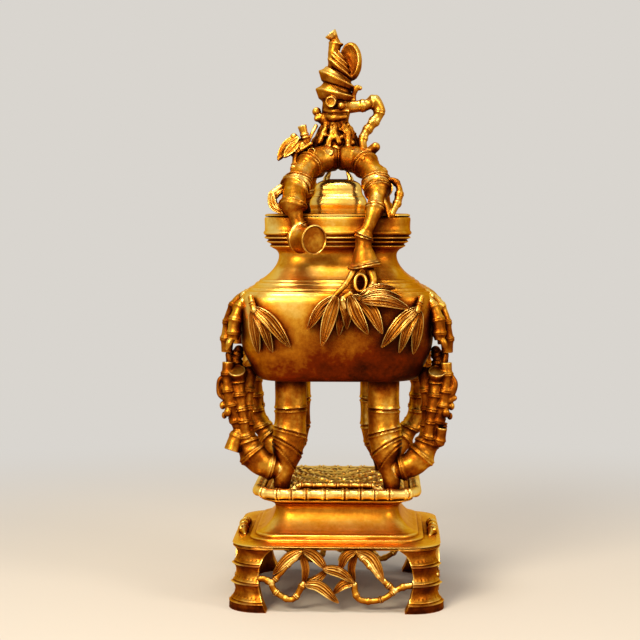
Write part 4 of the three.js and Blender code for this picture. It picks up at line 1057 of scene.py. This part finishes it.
def arch_shells():
    """The front arch: a culm from end to end, cut buds with rings round them, and small knobs."""
    line = [(-18, -25, 187), (-16.4, -20.4, 192.0), (-12.4, -13.4, 197.9), (-6.2, -7.8, 200.6),
            (0, -5.6, 200.9), (6.2, -7.8, 200.6), (12.4, -13.4, 197.9), (16.4, -20.4, 192.0),
            (18, -25, 187)]
    radii = [6.0, 5.5, 5.2, 5.0, 5.3, 5.9, 5.9, 5.3, 5.6, 5.9, 5.9, 5.3, 5.0, 5.2, 5.5, 6.0]
    points, quads, fans = culm(
        line, radii, [(0.05, 0.25), (0.25, 0.12), (0.735, -0.12), (0.95, -0.25)], lean=(0, 0, 1), around=60,
        step=0.33, flare=0.16, ridge=0.55, groove=0.45, gap=0.85, reach=2.2)
    points = pinch(points, 0.4, 0.9)
    points = pinch(points, 6.6, 0.45)
    bud = {"end": "round", "step": 0.3, "flare": 0.2, "ridge": 0.2, "gap": 0.5, "reach": 1.0}
    return [
        (points, quads, fans),
        culm([(-6.2, -9, 200.6), (-6.9, -13.6, 202.6)], [1.9, 1.8], end="cut", around=22, step=0.3),
        culm([(-3.4, -8, 201), (-3.6, -12.6, 203.2)], [1.5, 1.4], end="cut", around=20, step=0.3),
        culm([(-10.6, -10.6, 201.0), (-12.0, -15.2, 203.4)], [2.4, 2.0], end="open", around=24, step=0.3),
        culm([(12.4, -11.6, 200.4), (15.0, -12.2, 203.6), (17.2, -13.2, 205.6)], [2.6, 2.3, 2.2], [0.45],
             around=24, **bud),
        culm([(17.4, -17.6, 196.8), (20.6, -19.4, 193.8), (21.4, -21.4, 190.0)], [1.7, 1.8, 1.4], [0.5],
             around=20, **bud),
        knob((-19.6, -20.8, 195.4), (1.7, 1.5, 1.9)),
        knob((-14.8, -19.4, 198.4), 1.3),
        knob((11.6, -18.2, 199.6), 1.2),
        culm([(3.4, -10.6, 203.2), (6.8, -12.8, 203.2), (9.6, -13.6, 201.2)], [0.8, 1.0, 0.8], around=16,
             **rounded),
    ]


for side, degrees in halves:
    shells = [turned(shell, degrees) for shell in arch_shells()]
    piece(f"arch_culm_{side}", shells, "lid", [f"arch_{side}"], "bamboo_gilt", melt_mm=0.3)
print("arch: top of its culm at", round(max(points[:, 2].max() for points, _, _ in shells[:1]), 1), "mm")


# %% [markdown]
# Lid: what hangs from the arch
# On the right a long culm narrows, swells to a broken node and ends in a bell. On the left a short
# one turns into a stump, cut flat across, whose smooth oval face looks out to the front and right.

# %% Hanging culms
hung = {"around": 44, "step": 0.33, "flare": 0.16, "ridge": 0.36, "groove": 0.36, "gap": 0.6, "reach": 1.2}


def long_leg_shell():
    """The long culm of the front, from under the arch down to the bell."""
    line = [(18, -25.6, 188.0), (17.6, -32.4, 181.4), (16.6, -37, 176.5), (14.6, -38.6, 170.6),
            (12.2, -38.9, 165.0), (12.0, -39.2, 160), (12.8, -39.5, 151.4)]
    radii = [5.8, 5.2, 4.4, 3.7, 3.8, 3.5, 2.8, 2.5, 3.7, 3.5, 4.5, 5.6, 6.8]
    nodes = [(0.09, 0.3), (0.36, 0.12), (0.68, -0.15), (0.975, 0.12)]
    return culm(line, radii, nodes, lean=(1, 0, 0), end="flat", **hung)


def short_leg_shell():
    """The short culm of the front, from under the arch to the stump's back."""
    line = [(-18.4, -25.6, 188.0), (-18.9, -33, 182.5), (-18.6, -37.4, 177.6), (-17.0, -38.6, 172),
            (-15.6, -39, 166.6)]
    radii = [6.0, 5.4, 5.0, 5.1, 5.3, 5.6, 4.9, 3.2, 2.8, 3.3, 4.6]
    return culm(line, radii, [(0.10, -0.5), (0.56, -0.25), (0.90, 0.3)], lean=(1, 0, 0), **hung)


def cut_stump_shell():
    """The stump: a short drum from the back to its cut face, with a fine rim round the cut."""
    line = [(-18.8, -36.8, 164.4), (-16.4, -39.6, 164.3), (-13.4, -43.0, 164.1), (-9.2, -48.4, 163.7)]
    return culm(line, [3.2, 5.3, 5.9, 5.4, 5.8, 6.6], [0.30], start="round", end="flat", around=48,
                step=0.33, flare=0.1, groove=0.34, gap=0.6, reach=1.6)


hanging = {"long_culm": (long_leg_shell, "long_leg"), "short_culm": (short_leg_shell, "short_leg"),
           "stump": (cut_stump_shell, "cut_stump")}
for side, degrees in halves:
    for name, (shell, node) in hanging.items():
        piece(f"{name}_{side}", [turned(shell(), degrees)], "lid", [f"{node}_{side}"], "bamboo_gilt")
print("hanging culms:", ", ".join(hanging))

# %% [markdown]
# Lid: leaf fans
# Under the bell a forked twig, with an eye between its prongs, carries three fans of leaves that hang
# over the belly, clear of it by a finger nail so that the lid lifts off.

# %% Leaf fans
fan_y, eye_radius = -47.2, 0.78
fan_blades = [
    ([(0.4, 139.2), (-6.0, 134.0), (-12.2, 124.6)], 2.5, 0.6),
    ([(0.6, 139.2), (-2.6, 130.0), (-6.0, 117.6)], 3.0, -0.7),
    ([(1.6, 138.0), (2.2, 130.8), (1.4, 121.8)], 2.1, 0.5),
    ([(2.0, 138.6), (4.6, 132.0), (5.0, 125.0)], 2.2, -0.3),
    ([(6.2, 139.4), (9.0, 131.6), (14.2, 122.8)], 2.9, -0.6),
    ([(6.8, 139.4), (14.4, 134.2), (20.4, 123.0)], 3.1, 0.3),
    ([(10.4, 138.8), (18.6, 142.6), (26.2, 142.8)], 2.2, 0.2),
    ([(11.0, 138.2), (19.8, 140.2), (28.6, 138.8)], 2.2, -0.4),
    ([(11.4, 137.6), (21.6, 137.4), (32.0, 134.0)], 2.8, -0.8),
]


def on_fan(points):
    """Points given as x, the way forward of the fans' plane, and z."""
    return [(x, fan_y + forward, z) for x, forward, z in points]


def fan_shells():
    """Blades, the two prongs of the twig with a cut spur, and the eye between them."""
    thin = {"around": 20, "step": 0.3, "flare": 0.12, "ridge": 0.18, "groove": 0.14, "gap": 0.4,
            "reach": 1.0, "start": "round"}
    shells = [
        leaf(on_fan([(x, forward, z) for x, z in line]), (0, -1, 0.1), half, rows=42, drop=0.4)
        for line, half, forward in fan_blades
    ]
    shells += [
        culm(on_fan([(9.6, 6.8, 152.6), (7.4, 4.0, 149.6), (4.4, 1.2, 144.6), (0.4, -0.2, 140.2),
                     (-2.6, 0, 136.6)]), [2.2, 1.5, 1.2, 1.3, 0.8], [0.55], end="round", **thin),
        culm(on_fan([(13.4, 6.8, 152.6), (15.4, 4.2, 149.4), (16.4, 2.0, 145.4), (14.4, 0.2, 141.0),
                     (11.4, -0.2, 138.4)]), [2.4, 1.8, 1.5, 1.5, 1.2], [0.6], end="round", **thin),
        culm(on_fan([(6.4, 0.2, 140.2), (3.2, -0.4, 137.4), (4.2, -0.6, 133.8)]), [1.5, 1.6, 1.3], [0.5],
             end="cut", **thin),
    ]
    angle = np.linspace(0, 2 * np.pi, 90, endpoint=False)
    eye_x = 10.8 + 2.6 * np.cos(angle)
    eye_y = fan_y + 1.4 + 0.22 * (145 + 4.0 * np.sin(angle) - 141)
    eye_z = 145.0 + 3.8 * np.sin(angle)
    eye = np.column_stack([eye_x, eye_y, eye_z])
    direction, _ = spokes(eye, 16, closed=True)
    shells.append(hooped(eye[:, None] + direction * eye_radius))
    return shells


for side, degrees in halves:
    shells = [turned(shell, degrees) for shell in fan_shells()]
    piece(f"leaf_fan_{side}", shells, "lid", [f"leaf_fans_{side}"], "chased_gilt")
print("leaf fans:", len(fan_blades), "blades on each side")

# %% [markdown]
# Lid: finial
# The knob by which the lid is lifted is a rough root: a trunk that spreads into roots at its foot,
# folds wrapped round it, a cup with a thin edge, and a cut stub at the top. One branch leaves it on
# the right and bends back down to the arch.

# %% Finial: folds and cup
def fold(centre, low, rim, drop, tilt, lobes=0.05, around=64):
    """A rolled fold: it comes out of the trunk, turns over a thick lip at the rim and goes in again.
    The rim leans by tilt degrees, higher on the left, and its radius varies by a few lobes."""
    steps = [(low - 0.8, -drop - 0.8), (low, -drop), (low + 0.5 * (rim - low), -0.85 * drop),
             (rim - 0.5, -1.1), (rim, -0.1), (rim - 0.1, 0.35), (rim - 0.9, 0.8), (rim - 2.0, 1.5),
             (low - 0.9, 2.6)]
    angle = np.linspace(0, 2 * np.pi, around, endpoint=False)
    rings = []
    for radius, height in steps:
        share = np.clip((radius - low) / (rim - low), 0, 1)
        reach = radius * (1 + lobes * share * (np.cos(2 * angle + 0.6) + 0.6 * np.cos(3 * angle + 2)))
        x, y = reach * np.cos(angle), reach * np.sin(angle)
        thick = 1.15 - 0.35 * np.cos(angle)
        rings.append(np.column_stack([x, y, height * thick - x * math.tan(math.radians(tilt))]) + centre)
    middle = np.asarray(centre, float)
    return ringed(np.stack(rings), middle - [0, 0, drop], middle + [0, 0, 2.0])


def dish(centre, radii, facing, plane, around=64):
    """A ball with a hollow: where p . n passes the plane, the cap is turned in to 0.6 of its height."""
    points, quads, fans = knob((0, 0, 0), 1.0, around)
    facing = np.asarray(facing, float) / np.linalg.norm(facing)
    past = np.maximum(points @ facing - plane, 0)
    points = points - facing * (past * 1.6)[:, None]
    return points * np.asarray(radii, float) + centre, quads, fans


# %% Finial: trunk and roots
root_count = 17


def trunk_shells():
    """Trunk, folds, cup, stub and cut buds."""
    soft = {"start": "round", "end": "round", "step": 0.4}
    return [
        culm([(-1.4, 0, 203.6), (-1.4, 0, 208), (-1.6, 0, 213), (-1.6, 0, 218.5), (-0.9, 0, 225),
              (-0.3, 0, 232), (0.4, 0.3, 239), (0.2, 0.6, 246.4)],
             [8.4, 7.6, 6.3, 6.0, 6.5, 6.6, 6.4, 6.2, 5.4, 4.6, 3.4], around=44, **soft),
        fold((-1.4, -0.2, 230.6), 6.4, 8.7, 3.0, 12), fold((-0.6, -0.2, 237.0), 6.1, 8.2, 2.8, 24),
        fold((0.9, -0.2, 241.8), 4.9, 5.9, 1.5, 38, 0.02), fold((1.0, 0, 244.2), 4.6, 5.3, 1.2, 40, 0.02),
        fold((0.6, 0, 246.6), 4.1, 4.7, 1.1, 40, 0.02),
        culm([(-1.6, -0.4, 243), (-2.4, -0.8, 248), (-1.6, -0.4, 252.6)], [3.4, 2.5, 2.9], around=28,
             **soft),
        fold((-1.2, -0.2, 253.4), 2.4, 3.4, 1.0, 6, 0.02),
        culm([(-1.3, -0.2, 253.8), (-2.0, -0.2, 255.8), (-3.8, -0.4, 258.1)], [2.3, 1.9, 2.5, 3.1],
             end="open", around=30, step=0.25),
        dish((5.6, -0.2, 245.2), (5.2, 5.0, 8.9), (-0.30, -0.95, 0.05), 0.52),
        culm([(-5.6, -4.2, 219.8), (-1.6, -7.0, 219.0), (3.2, -5.0, 219.8)], [1.2, 1.6, 1.2], around=20,
             **soft),
        culm([(-6.2, -3.6, 222.6), (-1.6, -6.6, 222.0), (4.2, -4.6, 222.4)], [1.0, 1.3, 1.0], around=20,
             **soft),
        culm([(-4, -2, 217.5), (-8.4, -2.8, 219.4)], [3.4, 2.3], around=22, **soft),
        knob((-10.0, -2.8, 222.2), (2.1, 1.8, 2.1)), knob((-9.4, -3.2, 219.2), 1.8),
        culm([(-2.6, -3.5, 226.6), (-3.4, -8.7, 226.2)], [2.6, 2.4], [0.75], end="cut", around=30, step=0.3,
             flare=0.1, ridge=0.25, gap=0.45, reach=0.8),
        culm([(1.5, -3.5, 225.2), (1.4, -8.2, 224.4)], [2.2, 1.7], end="round", around=30, step=0.3),
        culm([(6.4, -2.4, 227.6), (7.4, -2.6, 231.2), (8.2, -2.6, 233.0), (10.0, -2.6, 232.9)],
             [1.9, 1.2, 1.4, 1.1], around=20, **soft),
    ]


def root_shells(k):
    """One root of the foot and two lumps beside it. Sines of its number k make each one different."""
    angle = 2 * np.pi * (k + 0.25 * math.sin(5.0 * k)) / root_count
    twist = angle + 0.25 * math.sin(3.7 * k)
    reach = 10.6 + 1.0 * math.sin(2.3 * k)
    low = 206.2 + 1.6 * abs(math.sin(angle)) * (k % 2)
    lump = angle + 0.19
    line = [(-1.6 + 5.0 * math.cos(angle), 5.0 * math.sin(angle), 218.0),
            (-1.4 + 7.6 * math.cos(twist), 7.0 * math.sin(twist), 213.0),
            (-1.2 + reach * math.cos(angle), 0.8 * reach * math.sin(angle), low)]
    return [
        culm(line, [0.9, 1.35 + 0.3 * math.sin(4.1 * k), 1.5], start="round", end="round", around=16,
             step=0.4),
        knob((-1.3 + 8.4 * math.cos(lump), 7.4 * math.sin(lump), 210.4 + 1.8 * math.sin(2.9 * k)),
             1.2 + 0.35 * math.sin(1.7 * k)),
        knob((-1.4 + 6.4 * math.cos(lump), 6.2 * math.sin(lump), 214.6 + 1.5 * math.sin(4.3 * k)),
             1.1 + 0.3 * math.sin(2.7 * k)),
    ]


# %% Finial: one rough skin
def roughened(made, depth_mm, size_mm, calm_above):
    """Vertices moved along their normals by sines of their place, less and less above a height."""
    mesh = made.data
    count = len(mesh.vertices)
    places = np.empty(count * 3, np.float32)
    normals = np.empty(count * 3, np.float32)
    mesh.vertices.foreach_get("co", places)
    mesh.vertex_normals.foreach_get("vector", normals)
    places = places.reshape(-1, 3)
    x, y, z = (places / (size_mm * MM)).T
    wave = (np.sin(x * 2.1 + 1.7 * np.sin(z * 1.3)) * np.cos(y * 1.9 + np.sin(z))
            + 0.5 * np.sin(z * 3.7 + 2.0 * np.sin(x * 2.3)) * np.cos(x * 3.1 - y * 2.7))
    calm = np.clip(1 - (places[:, 2] / MM - calm_above) / 6, 0.25, 1)
    places = places + normals.reshape(-1, 3) * (depth_mm * MM * wave * calm)[:, None]
    mesh.vertices.foreach_set("co", places.ravel())
    mesh.update()


finial_shells = trunk_shells() + [shell for k in range(root_count) for shell in root_shells(k)]
finial = piece("finial_root_casting", finial_shells, "lid", ["finial_root"], "bamboo_gilt",
               finish="root_gilt", melt_mm=0.28)
roughened(finial, 0.22, 1.9, 217.0)
print("finial:", len(finial_shells), "shells in one skin of", len(finial.data.vertices), "points")

# %% Finial: branch
arm = culm([(3.4, -2.6, 224.4), (8.6, -2.6, 224.6), (12.8, -2.6, 225.2), (16.4, -2.6, 226.4),
            (18.6, -2.8, 223.6), (18.2, -3.0, 220.4), (14.8, -3.8, 215.6), (12.2, -4.7, 212.0),
            (11.2, -5.8, 208.6), (11.6, -7.6, 204.0)],
           [3.3, 2.9, 2.6, 2.5, 3.0, 2.6, 2.3, 2.3, 2.1, 2.0, 1.9, 1.9, 2.0],
           [0.2, 0.33, 0.47, 0.6, 0.72, 0.84], around=30, flare=0.2, ridge=0.22, groove=0.2, gap=0.45,
           reach=1.3, **rounded)
branch = [arm, knob((17.2, -2.6, 227.2), (2.4, 2.2, 2.0)), knob((14.9, -4.6, 216.8), 1.6)]
piece("finial_branch", branch, "lid", ["finial_arm"], "bamboo_gilt", finish="rubbed_gilt", melt_mm=0.28)
print("finial branch:", len(branch), "shells")

# %% [markdown]
# Lid: small growths
# At the left of the arch stand two shoots and a thin stem, with two leaves and small culms under them,
# and a thin twig hangs from each end of the arch.

# %% Shoots and twigs
shoot_y = -9.2


def by_shoots(points):
    """Points given as x, the way back from the shoots' plane, and z."""
    return [(x, shoot_y + back, z) for x, back, z in points]


shoots = [
    culm(by_shoots([(-14, 0, 200.6), (-17.2, 0, 206.4), (-20.2, 0, 210.4)]), [2.4, 1.8, 1.6, 1.8], [0.6],
         end="round", around=24, step=0.3, flare=0.2, reach=1.0),
    culm(by_shoots([(-12.6, 0, 201.4), (-14.4, 0, 208), (-16.4, 0, 215.4)]), [2.2, 1.9, 1.7, 2.1],
         [0.3, 0.66], end="cut", around=24, step=0.3, flare=0.22, reach=1.0),
    culm(by_shoots([(-13.8, 0.4, 207.6), (-12.2, 2, 211.4), (-10.2, 5, 215.6)]), [0.9, 0.85, 1.0],
         end="round", around=18, step=0.3),
    leaf(by_shoots([(-17.6, 0, 209.6), (-22.4, -1.2, 206.2), (-27.0, -2.2, 199.2)]),
         (-0.4, -0.9, 0.3), 2.6),
    leaf(by_shoots([(-18.4, -1, 207.0), (-22.0, -3.4, 203.4), (-24.4, -4.6, 200.4)]),
         (0.1, -0.9, 0.4), 2.2),
    culm(by_shoots([(-19.0, -1.6, 203.8), (-19.2, -3.4, 199.6), (-19.2, -4.6, 195.8)]), [1.6, 1.5, 1.8],
         [0.1, 0.86], end="cut", around=22, step=0.3, flare=0.2, reach=1.0),
    culm(by_shoots([(-20.4, -2.0, 202.2), (-16.4, -2.8, 204.2), (-12.2, -3.0, 207.0)]), [1.2, 1.3, 1.0],
         [0.4], around=18, flare=0.2, reach=1.0, **rounded),
    knob((-16.2, shoot_y - 1.4, 206.0), (2.0, 1.8, 2.2)),
]
piece("shoot_cluster", shoots, "lid", ["stub_cluster"], "chased_gilt", melt_mm=0.28)

right_twig = [
    culm([(19.4, -24.6, 188.0), (22.6, -25.2, 190.0), (25.6, -26.2, 189.6), (27.6, -27.8, 186.6),
          (27.0, -31.2, 180.6), (25.0, -35.6, 176.2), (24.4, -37.2, 174.4)], [1.5, 1.4, 1.4, 1.8, 1.5, 1.4],
         [0.3, 0.52, 0.72], end="round", around=22, step=0.3, flare=0.26, ridge=0.2, groove=0.16, gap=0.4,
         reach=1.2),
    culm([(20.4, -32.0, 181.6), (22.2, -35.2, 177.4), (23.2, -37.4, 173.6)], [1.1, 1.6, 0.8], around=18,
         **rounded),
]
piece("bent_twig_right", right_twig, "lid", ["twig_right"], "bamboo_gilt", melt_mm=0.28)

thin_leaf = {"thick": 1.4, "ribs": 0.3}
left_twig = [
    leaf([(-20.4, -25.6, 187.2), (-26.0, -28.4, 184.8), (-28.6, -30.6, 180.0)], (-0.2, -1, 0.4), 2.2,
         **thin_leaf),
    leaf([(-28.8, -29.8, 184.6), (-27.4, -33.4, 178.6), (-22.8, -36.6, 174.8)], (-0.4, -1, 0.2), 2.0,
         **thin_leaf),
    knob((-24.6, -34.2, 178.2), (2.3, 1.9, 2.1)),
    culm([(-19.4, -24.6, 187.6), (-24.6, -27.2, 187.0), (-28.6, -29.6, 184.4)], [1.6, 1.3, 1.4], [0.5],
         end="round", around=18, step=0.3),
]
piece("folded_twig_left", left_twig, "lid", ["twig_left"], "chased_gilt")
triangles = sum(len(made.data.loops) - 2 * len(made.data.polygons) for made in pieces)
print("pieces:", len(pieces), "triangles:", triangles)

# %% [markdown]
# Floor and light
# The floor is pale and plain. Near the censer it takes the lamps' light and the shadow, and further
# off it passes into the colour of the pale room, so that no horizon shows. Soft lamps light the metal
# from the left, the right and above, and the world is the pale room that it mirrors.

# %% Floor
floor_data = bpy.data.meshes.new("floor")
floor_half = 3.0
floor_data.from_pydata(
    [(-floor_half, -floor_half, 0), (floor_half, -floor_half, 0),
     (floor_half, floor_half, 0), (-floor_half, floor_half, 0)], [], [(0, 1, 2, 3)])
floor = bpy.data.objects.new("floor", floor_data)
bpy.context.scene.collection.objects.link(floor)

room_colour = "#D9D5CF"
near_card, far_edge = 0.10, 0.55
floor_material = bpy.data.materials.new("pale_card")
floor_material.use_nodes = True
floor_tree = floor_material.node_tree
floor_tree.nodes.clear()
card = add_node(floor_tree, "ShaderNodeBsdfPrincipled",
                {"Base Color": linear(room_colour), "Roughness": 0.9})
far_card = add_node(floor_tree, "ShaderNodeEmission", {"Color": linear(room_colour), "Strength": 1.0})
floor_place = add_node(floor_tree, "ShaderNodeTexCoord").outputs["Object"]
away = add_node(floor_tree, "ShaderNodeVectorMath", {"operation": "LENGTH"},
                {0: floor_place}).outputs["Value"]
far_share = add_node(floor_tree, "ShaderNodeMapRange",
                     {"interpolation_type": "SMOOTHSTEP", "From Min": near_card, "From Max": far_edge},
                     {"Value": away}).outputs["Result"]
floor_mix = add_node(floor_tree, "ShaderNodeMixShader", links={
    0: far_share, 1: card.outputs[0], 2: far_card.outputs[0],
})
add_node(floor_tree, "ShaderNodeOutputMaterial", links={"Surface": floor_mix.outputs[0]})
floor_data.materials.append(floor_material)


# %% Lamps and world
def soft_lamp(name, place, target, size, power, colour):
    """A square area lamp that faces its target."""
    data = bpy.data.lights.new(name, "AREA")
    data.shape = "SQUARE"
    data.size = size
    data.energy = power
    data.color = linear(colour)[:3]
    lamp = bpy.data.objects.new(name, data)
    lamp.location = place
    way = np.array(target) - np.array(place)
    flat = math.hypot(way[0], way[1])
    lamp.rotation_euler = (math.atan2(flat, -way[2]), 0, math.atan2(-way[0], way[1]))
    bpy.context.scene.collection.objects.link(lamp)


soft_lamp("key", (-0.40, -0.85, 0.58), (0, 0, 0.13), 0.36, 9, "#FFEBC8")
soft_lamp("fill", (0.85, -0.6, 0.55), (0, 0, 0.12), 0.34, 4, "#FFEBD2")
soft_lamp("top", (-0.1, -0.25, 1.1), (0, 0, 0.15), 0.35, 6, "#FFF2E2")
print("lamps:", ", ".join(light.name for light in bpy.data.lights))

ambient_colour, ambient_strength = "#CFC9C0", 0.6
world = bpy.data.worlds.new("pale_room")
bpy.context.scene.world = world
world.use_nodes = True
world.node_tree.nodes.clear()
path = add_node(world.node_tree, "ShaderNodeLightPath")
seen = add_node(world.node_tree, "ShaderNodeMath", {"operation": "MAXIMUM"},
                {0: path.outputs["Is Camera Ray"], 1: path.outputs["Is Glossy Ray"]})
seen = add_node(world.node_tree, "ShaderNodeMath", {"operation": "MAXIMUM"},
                {0: seen.outputs[0], 1: path.outputs["Is Transmission Ray"]})
ambient = add_node(world.node_tree, "ShaderNodeBackground",
                   {"Color": linear(ambient_colour), "Strength": ambient_strength})
backdrop = add_node(world.node_tree, "ShaderNodeBackground",
                    {"Color": linear(room_colour), "Strength": 1.0})
mix = add_node(world.node_tree, "ShaderNodeMixShader", links={
    0: seen.outputs[0], 1: ambient.outputs[0], 2: backdrop.outputs[0],
})
add_node(world.node_tree, "ShaderNodeOutputWorld", links={"Surface": mix.outputs[0]})
bpy.context.scene.view_settings.view_transform = "Standard"

# %% The end
bpy.context.view_layer.update()
